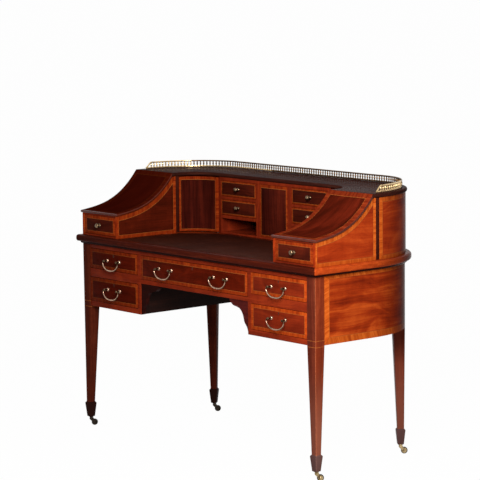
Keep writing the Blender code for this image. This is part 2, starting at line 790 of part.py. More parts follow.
def make_rear_range():
    """The deep lattice behind the writing surface that holds the cupboard, drawers and pigeonholes."""
    face = front_y + rear_face
    back = face + range_depth
    bottom = base_z + range_bottom_rail
    pigeonhole_top = lower_small_low - under_rail
    rows = {"upper": (upper_small_low, upper_small_high), "lower": (lower_small_low, lower_small_high)}
    block = box_mesh((-recess_high_x, face, base_z), (recess_high_x, back, wall_top))
    rear = add_piece("rear_range", block, mahogany)
    start, end = face - cut_overrun, back + cut_overrun
    cupboard = box_mesh((-centre_post_x, start, bottom), (centre_post_x, end, upper_small_high))
    add_boolean(rear, cupboard, "DIFFERENCE", "centre_cupboard")
    for name, side in sides.items():
        for level, (low_z, high_z) in {**rows, "pigeonhole": (bottom, pigeonhole_top)}.items():
            hole = mirrored_box(side, (small_low_x, start, low_z), (small_high_x, end, high_z))
            add_boolean(rear, hole, "DIFFERENCE", f"{level}_{name}_opening")
        recess = mirrored_box(side, (recess_low_x, start, base_z - cut_overrun),
                              (recess_high_x + cut_overrun, face + recess_depth, wall_top + cut_overrun))
        add_boolean(rear, recess, "DIFFERENCE", f"recess_{name}")

    sizes = (small_drawer_gap, small_front_thickness, small_lining, small_bottom, small_drawer_depth)
    for name, side in sides.items():
        low_x, high_x = sorted((side * small_low_x, side * small_high_x))
        for level, (low_z, high_z) in rows.items():
            add_drawer(f"small_drawer_{level}_{name}", low_x, high_x, low_z, high_z, face, sizes)
            make_knob(f"{level}_{name}", (low_x + high_x) / 2, face, (low_z + high_z) / 2)


def door_curve(grow):
    """The hollow face of the right-hand corner door, or a line that far behind it."""
    centre_x, centre_y = recess_high_x + door_gap, front_y + inner_post_end + door_gap
    reach, depth = box_inner_x - centre_x + grow, front_y + rear_face - centre_y + grow
    return [(centre_x + reach * math.cos(angle), centre_y + depth * math.sin(angle))
            for angle in (math.pi / 2 * step / door_steps for step in range(door_steps + 1))]


def make_doors():
    """The flat centre door and the two hollow corner doors, each on a hinge at its edge."""
    face = front_y + rear_face
    bottom = base_z + range_bottom_rail
    reach = centre_post_x - door_gap
    corner = (-reach, face, bottom + door_gap)
    mesh = box_mesh(corner, (reach, face + door_thickness, upper_small_high - door_gap))
    add_piece("door_centre", mesh, door_mahogany, corner)

    low, high = base_z + door_bottom_gap, wall_top - door_bottom_gap
    for name, side in sides.items():
        near, far = ([(side * x, y) for x, y in door_curve(grow)] for grow in (0, door_thickness))
        hinge = (*near[0], low)
        add_piece(f"door_corner_{name}", wall_mesh(far, near, low, high), door_mahogany, hinge)


def make_shelf():
    """The flat shelf on top, over the back and the small drawers, that carries the gallery."""
    start = front_y + sweep_run + fit_gap
    inner = [(box_inner_x - shelf_overhang, start)] + door_curve(-shelf_overhang)
    reach = upper_reach + shelf_overhang
    outer = [(half_width + reach, start)] + corner_path(0, math.pi / 2, -reach)
    mesh = wall_mesh(outer + mirrored(outer), inner + mirrored(inner), shelf_bottom, shelf_top)
    add_piece("gallery_shelf", mesh, mahogany)


def gallery_route():
    """The gallery's line on the shelf, from its right-hand front end round to the left-hand one."""
    start = corner_angle(gallery_inset, 1, front_y + sweep_run + gallery_start)
    right = corner_path(start, math.pi / 2, gallery_inset, corner_steps * gallery_fineness)
    return [Vector(place) for place in right + mirrored(right)[1:]]


def along(route, distances):
    """The points at rising distances along a route."""
    points = []
    index, passed = 0, 0.0
    for distance in distances:
        while index < len(route) - 2 and passed + (route[index + 1] - route[index]).length < distance:
            passed += (route[index + 1] - route[index]).length
            index += 1
        leg = route[index + 1] - route[index]
        points.append(route[index] + leg * ((distance - passed) / leg.length))
    return points


def make_gallery():
    """The pierced brass gallery: a strip with a rail below, a rail above and spindles between."""
    route = gallery_route()
    length = sum((far - near).length for near, far in zip(route, route[1:]))
    bays = round((length - spindle_width) / spindle_pitch)
    pitch = (length - spindle_width) / bays
    marks = [0.0]
    for bay in range(bays + 1):
        marks += [bay * pitch + spindle_width * share for share in (0, 1) if bay or share]
    places = along(route, marks)
    low = shelf_top + fit_gap
    high = shelf_top + gallery_height
    work = bmesh.new()
    columns = []
    for place, mark in zip(places, marks):
        rise = min(1.0, min(mark, length - mark) / gallery_slope)
        top = low + 2 * gallery_rail + (high - low - 2 * gallery_rail) * rise
        heights = (low, low + gallery_rail, top - gallery_rail, top)
        columns.append([work.verts.new((place.x, place.y, height)) for height in heights])
    for index, (near, far) in enumerate(zip(columns, columns[1:])):
        pierced = index % 2 == 1 and 1 < index < len(columns) - 3
        for row in range(3):
            if not (row == 1 and pierced):
                work.faces.new((near[row], far[row], far[row + 1], near[row + 1]))
    bmesh.ops.remove_doubles(work, verts=work.verts, dist=weld_distance)
    mesh = bpy.data.meshes.new("gallery")
    work.to_mesh(mesh)
    work.free()
    gallery = add_piece("gallery", mesh, brass)
    wall = gallery.modifiers.new("thickness", "SOLIDIFY")
    wall.thickness = gallery_thickness
    wall.offset = 0
    wall.use_even_offset = True


for old in list(bpy.data.objects):
    bpy.data.objects.remove(old)

desk = make_collection("carlton_house_desk")
cutters = make_collection("cutters")

mahogany = make_material("mahogany", (0.105, 0.018, 0.010), 0.22)
figured_mahogany = make_material("figured_mahogany", (0.300, 0.055, 0.016), 0.22)
drawer_mahogany = make_material("drawer_mahogany", (0.150, 0.024, 0.010), 0.22)
door_mahogany = make_material("door_mahogany", (0.080, 0.014, 0.009), 0.22)
leather = make_material("leather", (0.055, 0.022, 0.017), 0.50)
brass = make_material("brass", (0.610, 0.420, 0.170), 0.25, 1.0)

make_top()
make_legs()
make_castors()
make_front_frame()
make_panels()
make_pedestals()
make_lower_drawers()
make_side_boxes()
make_curved_back()
make_rear_range()
make_doors()
make_shelf()
make_gallery()

for piece in desk.objects:
    piece.data.set_sharp_from_angle(angle=math.radians(30))
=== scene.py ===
"""The finish of a Carlton House desk: veneers, mouldings, brasswork and leather over its jointed solids.

Metres, +Z up.  The front faces -Y and the middle of the desk is at x = 0.
"""

import json
import math
from bisect import bisect_left
from functools import partialmethod

import bmesh
import bpy
from mathutils import Matrix, Vector


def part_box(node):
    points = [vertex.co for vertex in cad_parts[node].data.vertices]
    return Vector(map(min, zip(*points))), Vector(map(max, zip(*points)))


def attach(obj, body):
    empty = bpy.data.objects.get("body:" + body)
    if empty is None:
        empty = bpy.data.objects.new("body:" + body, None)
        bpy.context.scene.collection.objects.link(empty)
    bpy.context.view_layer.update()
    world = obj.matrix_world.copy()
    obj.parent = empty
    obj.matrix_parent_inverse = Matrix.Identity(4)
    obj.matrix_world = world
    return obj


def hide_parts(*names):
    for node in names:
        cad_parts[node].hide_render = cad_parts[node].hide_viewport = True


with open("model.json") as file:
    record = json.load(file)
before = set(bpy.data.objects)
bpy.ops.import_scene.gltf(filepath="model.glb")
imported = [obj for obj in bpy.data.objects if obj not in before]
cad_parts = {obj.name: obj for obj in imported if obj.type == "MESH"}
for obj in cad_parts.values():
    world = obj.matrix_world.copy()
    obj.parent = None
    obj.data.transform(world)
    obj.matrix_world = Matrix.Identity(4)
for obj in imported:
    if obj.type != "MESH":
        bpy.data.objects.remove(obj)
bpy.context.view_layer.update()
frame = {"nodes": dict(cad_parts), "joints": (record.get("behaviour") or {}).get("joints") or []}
nodes = frame["nodes"]
scene = bpy.context.scene

# The case's plan: a straight side, then a quarter ellipse into the straight back
half_width = 0.68
front = -0.3
back = 0.3
side_run = 0.29
corner_reach = 0.256
corner_depth = back - front - side_run
corner_x = half_width - corner_reach
corner_y = front + side_run
curve_steps = 48

# A hairline gap between pieces that meet
seam = 0.0003

leg_inner = 0.0425

# The side boxes, their swept lids and the curved wall, which stand a little proud of the lower case
upper_reach = 0.003
box_outer = half_width + upper_reach
box_inner = 0.458
box_wall = 0.012
wall_end = front + 0.291
post_end = front + 0.3083
shelf_lip = 0.0055
door_centre = Vector((0.341, front + 0.3088))
door_reach = box_inner - door_centre.x
door_depth = front + 0.403 - door_centre.y
door_steps = 40
sweep_start = 0.862
sweep_rise = 0.141
sweep_run = 0.272
sweep_straight = 0.25
lid_thickness = 0.01
lid_nose = -0.007
sweep_steps = 40

# The lower case: its panels, the turned rear legs that stand in their joints, and the kneehole
panel_thickness = 0.014
rear_angle = math.radians(60)
leg_joint = 0.0238
knee = 0.316
rail_low = 0.606

# The desk's top: how thick its board is, below which height its colour is painted in shadow, where its front,
# painted in shade, is mitred to its sides, painted lit, and how far the board and the moulding under it stand
# out over the case
top_board = 0.0255
top_shadow_z = 0.7395
lit_side_mitre = 0.38
top_reach = 0.024
moulding_reach = 0.012

handle_pitch = 0.075
quarter_turn = Matrix.Rotation(math.pi / 2, 4, "X")
sides = {"left": -1, "right": 1}
corners = ("front_left", "front_right", "rear_left", "rear_right")


# Shapes

def spread(start, end, steps):
    """Numbers at even steps from one to another."""
    return [start + (end - start) * n / steps for n in range(steps + 1)]


def arc(centre, reach, start, end, steps):
    """Places on an ellipse from one angle to another."""
    return [Vector((centre[0] + reach[0] * math.cos(angle), centre[1] + reach[1] * math.sin(angle)))
            for angle in spread(start, end, steps)]


def corner_point(angle, inset):
    normal = Vector((math.cos(angle) / corner_reach, math.sin(angle) / corner_depth)).normalized()
    place = Vector((corner_x + corner_reach * math.cos(angle), corner_y + corner_depth * math.sin(angle)))
    return place - inset * normal


def corner_angle(inset, y):
    """The ellipse's angle at which the inset corner passes a place from front to back."""
    low, high = 0, math.pi / 2
    for _ in range(30):
        middle = (low + high) / 2
        low, high = (middle, high) if corner_point(middle, inset).y < y else (low, middle)
    return low


def right_line(inset, first_y, last_angle=math.pi / 2, steps=curve_steps):
    """The case's outline on the right, from a place on its side round towards the back."""
    start = corner_angle(inset, first_y)
    points = [Vector((half_width - inset, first_y))] if first_y < corner_y - 0.001 else []
    return points + [corner_point(angle, inset) for angle in spread(start, last_angle, steps)]


def mirrored(line):
    return [Vector((-point.x, point.y)) for point in reversed(line)]


def lengths_along(points):
    """The distance from the first point to each."""
    lengths = [0]
    for near, far in zip(points, points[1:]):
        lengths.append(lengths[-1] + (far - near).length)
    return lengths


def read_off(lengths, place):
    """The distance at a place between two points, counted in points."""
    place = min(len(lengths) - 1.001, max(0, place))
    step = int(place)
    return lengths[step] + (lengths[step + 1] - lengths[step]) * (place - step)


length_steps = 200
corner_lengths = lengths_along([corner_point(angle, 0) for angle in spread(0, math.pi / 2, length_steps)])


def way_round(place):
    """Distance round the outside of the case from its right-hand front edge to its left-hand one."""
    x, y = place[:2]
    half_way = side_run + corner_lengths[-1] + corner_x
    if abs(x) <= corner_x:
        return half_way - x
    if y <= corner_y:
        length = y - front
    else:
        angle = math.atan2((y - corner_y) / corner_depth, (abs(x) - corner_x) / corner_reach)
        length = side_run + read_off(corner_lengths, angle / (math.pi / 2) * length_steps)
    return length if x > 0 else 2 * half_way - length


def door_arc(grow):
    """The hollow corner doors' line on the right."""
    return arc(door_centre, (door_reach + grow, door_depth + grow), 0, math.pi / 2, door_steps)


def sweep_top(y):
    share = max(y - front, 0) / sweep_run
    return sweep_start + sweep_rise * (sweep_straight * share + (1 - sweep_straight) * share ** 3)


def sweep_stretch(y):
    """How much longer the sweep is than its run, at a place from front to back."""
    share = max(y - front, 0) / sweep_run
    return math.hypot(1, (sweep_straight + 3 * (1 - sweep_straight) * share ** 2) * sweep_rise / sweep_run)


def sweep_under(y, gap=0):
    return sweep_top(y) - (lid_thickness + gap) * sweep_stretch(y)


def verts_in(result):
    return [item for item in result["geom"] if isinstance(item, bmesh.types.BMVert)]


def extrude(work, faces, by, keep=False):
    """Draw faces out by a distance, and keep the first ones where they close the shape."""
    drawn_out = bmesh.ops.extrude_face_region(work, geom=faces, use_keep_orig=keep)
    bmesh.ops.translate(work, verts=verts_in(drawn_out), vec=by)


def closed(work):
    """Turn every face of a closed shape outwards."""
    bmesh.ops.recalc_face_normals(work, faces=work.faces)
    return work


def slab(outline, low, high):
    """A flat outline made solid from one height to another."""
    work = bmesh.new()
    face = work.faces.new([work.verts.new((point[0], point[1], low)) for point in outline])
    extrude(work, [face], (0, 0, high - low), True)
    return closed(work)


def moved(work, matrix):
    bmesh.ops.transform(work, matrix=matrix, verts=work.verts)
    return work


def board(low, high, soften=0.0007):
    """A planed board with its arrises taken off."""
    low, high = Vector(low), Vector(high)
    work = bmesh.new()
    place = Matrix.Translation((low + high) / 2) @ Matrix.Diagonal((*(high - low), 1))
    bmesh.ops.create_cube(work, size=1, matrix=place)
    if soften:
        soften_edges(work, list(work.edges), soften)
    return work


def soften_edges(work, edges, width, segments=2):
    bmesh.ops.bevel(
        work, geom=edges, offset=width, segments=segments, profile=0.5, affect="EDGES", material=-1,
        clamp_overlap=True)


def edges_at(work, axis, *values):
    """The edges that lie in one of the planes square to an axis."""
    return [edge for edge in work.edges for value in values
            if all(abs(vert.co[axis] - value) < 0.00001 for vert in edge.verts)]


def tray(low, high, wall, floor):
    """An open drawer box: a board whose top is pressed in to leave its walls and its bottom."""
    work = board(low, high, 0)
    top = next(face for face in work.faces if face.normal.z > 0.9)
    bmesh.ops.inset_region(work, faces=[top], thickness=wall, use_even_offset=True)
    extrude(work, [top], (0, 0, low[2] + floor - high[2]))
    bmesh.ops.delete(work, geom=[top], context="FACES_ONLY")
    return closed(work)


def turned(profile, steps=24):
    """A profile of radius and height, in millimetres, spun round the z axis."""
    work = bmesh.new()
    verts = [work.verts.new((radius / 1000, 0, height / 1000)) for radius, height in profile]
    edges = [work.edges.new(pair) for pair in zip(verts, verts[1:])]
    bmesh.ops.spin(
        work, geom=verts + edges, axis=(0, 0, 1), cent=(0, 0, 0), angle=2 * math.pi, steps=steps,
        use_merge=True)
    bmesh.ops.remove_doubles(work, verts=work.verts, dist=0.00002)
    return closed(work)


def drawn(section, stations):
    """A section, given flat about its middle, drawn through a row of places with their widths."""
    work = bmesh.new()
    ring = [work.verts.new((x, y, 0)) for x, y in section]
    edges = [work.edges.new(pair) for pair in zip(ring, ring[1:] + ring[:1])]
    previous = Matrix.Identity(4)
    work.faces.new(ring)
    for n, station in enumerate(stations):
        if n:
            made = bmesh.ops.extrude_edge_only(work, edges=edges)
            ring = verts_in(made)
            edges = [item for item in made["geom"] if isinstance(item, bmesh.types.BMEdge)
                     and item.verts[0] in ring and item.verts[1] in ring]
        bmesh.ops.transform(work, matrix=station @ previous.inverted(), verts=ring)
        previous = station
    bmesh.ops.holes_fill(work, edges=edges, sides=0)
    return closed(work)


def stations_along(points, widths=None, upward=Vector((0, 0, 1))):
    """Places along a line of points, each turned square to the line."""
    places = []
    for n, point in enumerate(points):
        ahead = (points[min(n + 1, len(points) - 1)] - points[max(n - 1, 0)]).normalized()
        across = upward.cross(ahead).normalized()
        above = ahead.cross(across)
        width = widths[n] if widths else 1
        turn = Matrix((across, above, ahead)).transposed().to_4x4()
        places.append(Matrix.Translation(point) @ turn @ Matrix.Diagonal((width, width, 1, 1)))
    return places


def smooth_line(points, steps):
    """A smooth line through a few points."""
    ends = [2 * points[0] - points[1], *points, 2 * points[-1] - points[-2]]
    line = []
    for a, b, c, d in zip(ends, ends[1:], ends[2:], ends[3:]):
        for n in range(steps):
            t = n / steps
            line.append(((2 * b) + (c - a) * t + (2 * a - 5 * b + 4 * c - d) * t * t
                         + (3 * b - a - 3 * c + d) * t ** 3) / 2)
    return line + [points[-1]]


def gather(parts):
    """Several shapes as one, each with its own veneer."""
    work = bmesh.new()
    prepare(work)
    for part in parts:
        mesh = bpy.data.meshes.new("part")
        part.to_mesh(mesh)
        part.free()
        work.from_mesh(mesh)
        bpy.data.meshes.remove(mesh)
    return work


# Veneers: each corner of a face knows its place along and across the grain, and how far off the
# panel's four edges are

def prepare(work):
    return work.loops.layers.uv.verify(), (
        work.loops.layers.float_color.get("edges") or work.loops.layers.float_color.new("edges"))


def lay_grain(work, along, shift=0, index=0):
    """Run the grain along a direction on every face and leave the faces unbanded."""
    uv, edges = prepare(work)
    along = Vector(along).normalized()
    for face in work.faces:
        face.material_index = index
        normal = face.normal
        first = normal.orthogonal().normalized() if abs(normal.dot(along)) > 0.9 else along
        second = normal.cross(first).normalized()
        for loop in face.loops:
            loop[uv].uv = (loop.vert.co.dot(first) + shift, loop.vert.co.dot(second) + shift * 3)
            loop[edges] = (-1, -1, -1, -1)
    return work


def lay_panel(work, chosen, route, bounds, shift=0, turn=False, index=0):
    """Veneer the chosen faces as one panel with its bands measured from the bounds."""
    uv, edges = prepare(work)
    for face in filter(chosen, work.faces):
        face.material_index = index
        for loop in face.loops:
            across, up = route(loop.vert.co)
            place = (up, across) if turn else (across, up)
            loop[uv].uv = (place[0] + shift, place[1] + shift)
            low, high = bounds(loop.vert.co) if callable(bounds) else bounds
            loop[edges] = (across - low[0], high[0] - across, up - low[1], high[1] - up)


def lay_front(work, low, high, shift, turn=False):
    """Veneer the side towards the sitter as one panel."""
    lay_panel(work, lambda face: face.normal.y < -0.5, lambda co: (co.x, co.z),
              ((low.x, low.z), (high.x, high.z)), shift, turn)


def around(face):
    return abs(face.normal.z) < 0.5


def piece(name, work, materials, body, covers=(), crease=35):
    """Put a finished shape into the desk on the part it moves with."""
    mesh = bpy.data.meshes.new(name)
    work.to_mesh(mesh)
    work.free()
    for material in materials:
        mesh.materials.append(material)
    mesh.polygons.foreach_set("use_smooth", [True] * len(mesh.polygons))
    mesh.set_sharp_from_angle(angle=math.radians(crease))
    made = bpy.data.objects.new(name, mesh)
    scene.collection.objects.link(made)
    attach(made, body)
    if covers:
        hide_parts(*covers)


def sharp_edges(work):
    bend = math.radians(25)
    return [edge for edge in work.edges if len(edge.link_faces) == 2 and edge.calc_face_angle(0) > bend]


def tidied(work):
    """A solid without its doubled points and the edges inside its flat sides."""
    bmesh.ops.remove_doubles(work, verts=work.verts, dist=0.00003)
    bmesh.ops.dissolve_limit(work, angle_limit=math.radians(1), verts=work.verts, edges=work.edges)
    return work


def softened_copy(node, width, segments=2):
    """A solid's own shape with its arrises softened."""
    work = bmesh.new()
    work.from_mesh(nodes[node].data)
    tidied(work)
    if width:
        soften_edges(work, sharp_edges(work), width, segments)
    return work


# Finishes

def feed(tree, socket, value):
    """Link a socket to another one, or set it to a number or a colour."""
    value = getattr(value, "socket", value)
    if isinstance(value, bpy.types.NodeSocket):
        tree.links.new(value, socket)
    else:
        socket.default_value = value


def rgba(tone):
    """A colour given in thousandths."""
    return (*(part / 1000 for part in tone), 1)


def add_node(tree, kind, settings=None, terms=(), **values):
    """A node with its settings, then its sockets fed in their order or by their names."""
    node = tree.nodes.new("ShaderNode" + kind)
    for key, value in (settings or {}).items():
        if key == "stops":
            node.color_ramp.elements.new(0.5)
            for element, (place, tone) in zip(node.color_ramp.elements, value):
                element.position = place
                element.color = rgba(tone)
        else:
            setattr(node, key, value)
    for socket, value in zip(node.inputs, terms):
        feed(tree, socket, value)
    for key, value in values.items():
        feed(tree, node.inputs[key.replace("_", " ")], value)
    return node


class Value:
    """A number in a finish's node graph that takes part in Python's arithmetic."""

    def __init__(self, tree, socket):
        self.tree = tree
        self.socket = socket

    def maths(self, operation, *others, swapped=False):
        terms = (self, *others)
        node = add_node(self.tree, "Math", {"operation": operation}, terms[::-1] if swapped else terms)
        return Value(self.tree, node.outputs[0])

    __add__ = __radd__ = partialmethod(maths, "ADD")
    __sub__ = partialmethod(maths, "SUBTRACT")
    __rsub__ = partialmethod(maths, "SUBTRACT", swapped=True)
    __mul__ = __rmul__ = partialmethod(maths, "MULTIPLY")
    __truediv__ = partialmethod(maths, "DIVIDE")
    least = partialmethod(maths, "MINIMUM")
    under = partialmethod(maths, "LESS_THAN")
    over = partialmethod(maths, "GREATER_THAN")
    size = partialmethod(maths, "ABSOLUTE")

    def ramp(self, low, high):
        """0 below one value and 1 above another, smooth between them."""
        node = add_node(self.tree, "MapRange", {"interpolation_type": "SMOOTHSTEP"},
                        Value=self, From_Min=low, From_Max=high)
        return Value(self.tree, node.outputs["Result"])


class Finish:
    """A material and the nodes that colour it."""

    def __init__(self, name, roughness, metallic=0, gloss=0.5):
        self.material = bpy.data.materials.new(name)
        self.material.use_nodes = True
        self.tree = self.material.node_tree
        self.shader = self.tree.nodes["Principled BSDF"]
        for key, value in (("Roughness", roughness), ("Metallic", metallic), ("Specular IOR Level", gloss)):
            self.shader.inputs[key].default_value = value

    def node(self, kind, settings=None, **values):
        return add_node(self.tree, kind, settings, **values)

    def split(self, vector):
        parts = self.node("SeparateXYZ", Vector=vector).outputs
        return [Value(self.tree, socket) for socket in parts]

    def grain_place(self):
        """Distances along and across the grain."""
        return self.split(self.node("UVMap").outputs[0])[:2]

    def object_place(self):
        return self.split(self.node("TexCoord").outputs["Object"])

    def edge_distances(self):
        """Distances to the panel's side edges and to its bottom and top edges."""
        attribute = self.node("Attribute", {"attribute_name": "edges"})
        return *self.split(attribute.outputs["Vector"]), Value(self.tree, attribute.outputs["Alpha"])

    def noise(self, x, y, z=0, scale=1, detail=2, rough=0.5, distort=0):
        place = self.node("CombineXYZ", X=x, Y=y, Z=z)
        made = self.node("TexNoise", {"noise_dimensions": "3D"}, Vector=place.outputs[0], Scale=scale,
                         Detail=detail, Roughness=rough, Distortion=distort)
        return Value(self.tree, made.outputs[0])

    def mix(self, factor, first, second):
        made = self.node("Mix", {"data_type": "RGBA"})
        feed(self.tree, made.inputs["Factor"], factor)
        for socket, colour in zip(made.inputs[6:8], (first, second)):
            feed(self.tree, socket, rgba(colour) if isinstance(colour, tuple) else colour)
        return made.outputs[2]

    def colours(self, factor, stops):
        """A run of three colours chosen by a number."""
        return self.node("ValToRGB", {"stops": stops}, Fac=factor).outputs[0]

    def colour(self, value):
        feed(self.tree, self.shader.inputs["Base Color"], value)

    def roughness(self, value):
        feed(self.tree, self.shader.inputs["Roughness"], value)

    def bump(self, height, distance, strength=1):
        made = self.node("Bump", Height=height, Distance=distance, Strength=strength)
        feed(self.tree, self.shader.inputs["Normal"], made.outputs[0])


def wood_colour(finish, along, across, dark, middle, light, flame=0.5, ribbon=0.5):
    """Mahogany's colour, and where its pores and its streaks are."""
    drift = finish.noise(along * 3, across * 5, 4) - 0.5
    streaks = finish.noise(along * 7, (across + drift * 0.02) * 190, 1, detail=4, rough=0.6)
    bands = finish.noise(along * 2.2, (across + drift * 0.05) * 34, 2, detail=3, rough=0.55)
    figure = finish.noise(
        along * 5 + drift * 3, across * 16 + drift * 6, 3, detail=3, rough=0.5, distort=0.8)
    cross = finish.noise(along * 46, across * 9, 5)
    shade = (streaks * 0.45 + bands * ribbon + figure * flame + cross * 0.16) / (0.61 + ribbon + flame)
    colour = finish.colours(shade, ((0.36, dark), (0.5, middle), (0.63, light)))
    pores = finish.noise(along * 60, across * 1500, 6, detail=1).ramp(0.6, 0.7)
    colour = finish.mix(pores * 0.45, colour, tuple(part * 0.35 for part in dark))
    return colour, pores, streaks


def polished(finish, along, across, colour, pores, streaks):
    """A wood in its colour, where the polish is thin, and the faint open pores under it."""
    finish.colour(colour)
    wear = finish.noise(along * 11, across * 13, 8, detail=3)
    finish.roughness(0.17 + wear * 0.12 + pores * 0.12)
    finish.bump(streaks * 0.3 - pores * 0.7, 0.00012, 0.5)
    return finish.material


def make_wood(
        name, dark, middle, light, flame=0.5, ribbon=0.5, gloss=0.006, strings=(), foot=None, pale=None):
    finish = Finish(name, 0.22, gloss=gloss)
    along, across = finish.grain_place()
    colour, pores, streaks = wood_colour(finish, along, across, dark, middle, light, flame, ribbon)
    if strings:
        height = finish.object_place()[2]
        for level, width in strings:
            line = (height - level).size().under(width / 2)
            colour = finish.mix(line * 0.85, colour, string_colour)
    # Painted sheen: towards the floor the colour is mixed with a paler tone, where the polish catches the
    # light
    if pale:
        painted_sheen = 1 - finish.object_place()[2].ramp(0.12, 0.46)
        colour = finish.mix(painted_sheen * 0.75, colour, pale)
    # Painted light on the spade foot: its tone is a greyish sheen on the lit legs and near-black shade on the
    # left ones
    if foot:
        colour = finish.mix(finish.object_place()[2].under(0.0955) * 0.8, colour, foot)
    return polished(finish, along, across, colour, pores, streaks)


def make_veneer(name, field, band, widths, flame=0.8, ribbon=0.5, gloss=0.004, slant=0, shade=None):
    """A veneered panel: a figured field, crossbanding round it and fine lines between them.

    The widths are those of the bands at the sides, at the bottom and at the top, in millimetres. A shade is
    painted shade: an axis, its direction, where the darkening starts and ends, and how much it is.
    """
    finish = Finish(name, 0.22, gloss=gloss)
    along, across = finish.grain_place()
    colour, pores, streaks = wood_colour(finish, along, across, *field, flame, ribbon)
    left, right, low, high = finish.edge_distances()
    side, bottom, top = (width / 1000 for width in widths)
    from_side = left.least(right) / side
    from_end = (low / bottom).least(high / top)
    nearest = from_side.least(from_end)
    panel = left.over(-0.5)
    on_band = nearest.under(1) * panel
    at_end = from_end.under(from_side)
    # The crossbanding's grain runs square to the nearest edge, a little aslant
    run = left + low * slant
    rise = low - left * slant
    fine = run * at_end + rise * (1 - at_end)
    coarse = rise * at_end + run * (1 - at_end)
    stripes = finish.noise(fine * 260, coarse * 8, 11, detail=3, rough=0.6)
    broad = finish.noise(fine * 60, coarse * 6, 12)
    band_colour = finish.colours(stripes * 0.55 + broad * 0.45, zip((0.36, 0.5, 0.64), band))
    # Painted shade: the bands across the ends are mixed a fifth of the way to the dark tone
    colour = finish.mix(on_band, colour, finish.mix(at_end * 0.2, band_colour, dark_tone))
    mitre = (from_side - from_end).size().under(0.035) * on_band
    colour = finish.mix(mitre * 0.35, colour, line_colour)
    width_here = side * (1 - at_end) + bottom * at_end
    inner_line = (nearest - 1).size() * width_here
    colour = finish.mix(inner_line.under(0.00055) * panel * 0.8, colour, string_colour)
    outer_line = (inner_line - 0.0009).size().under(0.0004) * nearest.over(1)
    colour = finish.mix(outer_line * panel * 0.45, colour, line_colour)
    # Painted shade: the colour darkens along one axis, towards where less light falls
    if shade:
        axis, direction, start, end, most = shade
        place = finish.object_place()[axis] * direction
        colour = finish.mix(place.ramp(start, end) * most, colour, dark_tone)
    return polished(finish, along, across, colour, pores, streaks)


def make_top_wood(name):
    """Painted light on the top's wood: a shaded front, lit sides mitred to it that darken to the back, shadow
    underneath.
    """
    finish = Finish(name, 0.22, gloss=0.01)
    along, across = finish.grain_place()
    x, y, z = finish.object_place()
    # The front and the sides are one wood: the front painted in shade, the sides painted lit
    shaded_front_colour, pores, streaks = wood_colour(finish, along, across, (28, 4, 2), (56, 7, 3), (110, 15, 5))
    lit_side_colour, pores, streaks = wood_colour(
        finish, along, across, (250, 28, 5), (420, 52, 8), (600, 94, 14))
    # Painted shade: the lit sides darken towards the back, where the case turns away from the lamp
    lit_side_colour = finish.mix(y.ramp(-0.12, 0.22) * 0.85, lit_side_colour, dark_tone)
    colour = finish.mix((x.size() + y).over(lit_side_mitre), shaded_front_colour, lit_side_colour)
    # Painted shadow under the board's nose
    colour = finish.mix(z.under(top_shadow_z), colour, (20, 3, 2))
    return polished(finish, along, across, colour, pores, streaks)


def make_plain(name, dark, middle, light, direction):
    """Plain wood on the solids that stay, with its grain along x (0) or y (1)."""
    finish = Finish(name, 0.42, gloss=0.05)
    place = finish.object_place()
    along = place[direction]
    across = place[1 - direction] + place[2]
    colour, pores, streaks = wood_colour(finish, along, across, dark, middle, light, 0.2, 0.5)
    finish.colour(colour)
    finish.roughness(0.42 + streaks * 0.14)
    finish.bump(streaks * 0.4 - pores * 0.6, 0.0002, 0.5)
    return finish.material


def make_brass(name, bright, dull, roughness, tarnish_and_shade):
    finish = Finish(name, roughness, metallic=1)
    x, y, z = finish.object_place()
    cloud = finish.noise(x, y, z, scale=90, detail=3)
    specks = finish.noise(x, y, z, scale=700)
    dulled = (cloud * 0.7 + specks * 0.3).ramp(0.62 - tarnish_and_shade, 0.72 - tarnish_and_shade * 0.4)
    finish.colour(finish.mix(dulled, bright, dull))
    finish.roughness(roughness + dulled * 0.16 + specks * 0.06)
    finish.bump(specks, 0.00005, 0.5)
    return finish.material


def make_leather(name):
    """Old desk leather: fine creased grain, darker and glossier where it was rubbed."""
    finish = Finish(name, 0.5, gloss=0.01)
    x, y, z = finish.object_place()
    place = finish.node("CombineXYZ", X=x, Y=y, Z=z)
    cells = finish.node("TexVoronoi", {"feature": "DISTANCE_TO_EDGE"}, Vector=place.outputs[0], Scale=620)
    grain = Value(finish.tree, cells.outputs["Distance"]).ramp(0, 0.16)
    fine = finish.noise(x, y, z, scale=1500)
    cloud = finish.noise(x * 3, y * 5, z, detail=4, rough=0.6)
    rubbed = finish.noise(x * 11, y * 9, 3, detail=5, rough=0.65).ramp(0.5, 0.75)
    colour = finish.colours(cloud, [(0.3, (22, 5, 3)), (0.55, (36, 8, 4)), (0.75, (55, 12, 6))])
    colour = finish.mix(rubbed * 0.3, colour, (75, 22, 12))
    colour = finish.mix((1 - grain) * 0.5, colour, (12, 4, 3))
    finish.colour(colour)
    finish.roughness(0.5 - rubbed * 0.14 + fine * 0.08)
    finish.bump(grain * 0.8 + fine * 0.2, 0.00018, 0.6)
    return finish.material


def make_dark(name, colour):
    finish = Finish(name, 0.6, gloss=0.1)
    x, y, z = finish.object_place()
    dust = finish.noise(x, y, z, scale=400)
    finish.colour(finish.mix(dust * 0.4, colour, tuple(part * 2.5 for part in colour)))
    return finish.material


string_colour = (440, 130, 28)
dark_tone = (40, 3, 1)
line_colour = (22, 5, 3)
band_tones = ((180, 17, 4), (300, 33, 5), (430, 65, 9))
red_band_tones = ((250, 26, 4), (420, 50, 6), (570, 90, 11))
dim_band_tones = ((120, 12, 4), (200, 22, 6), (300, 42, 10))
bright_band_tones = ((360, 50, 7), (560, 95, 11), (720, 160, 22))

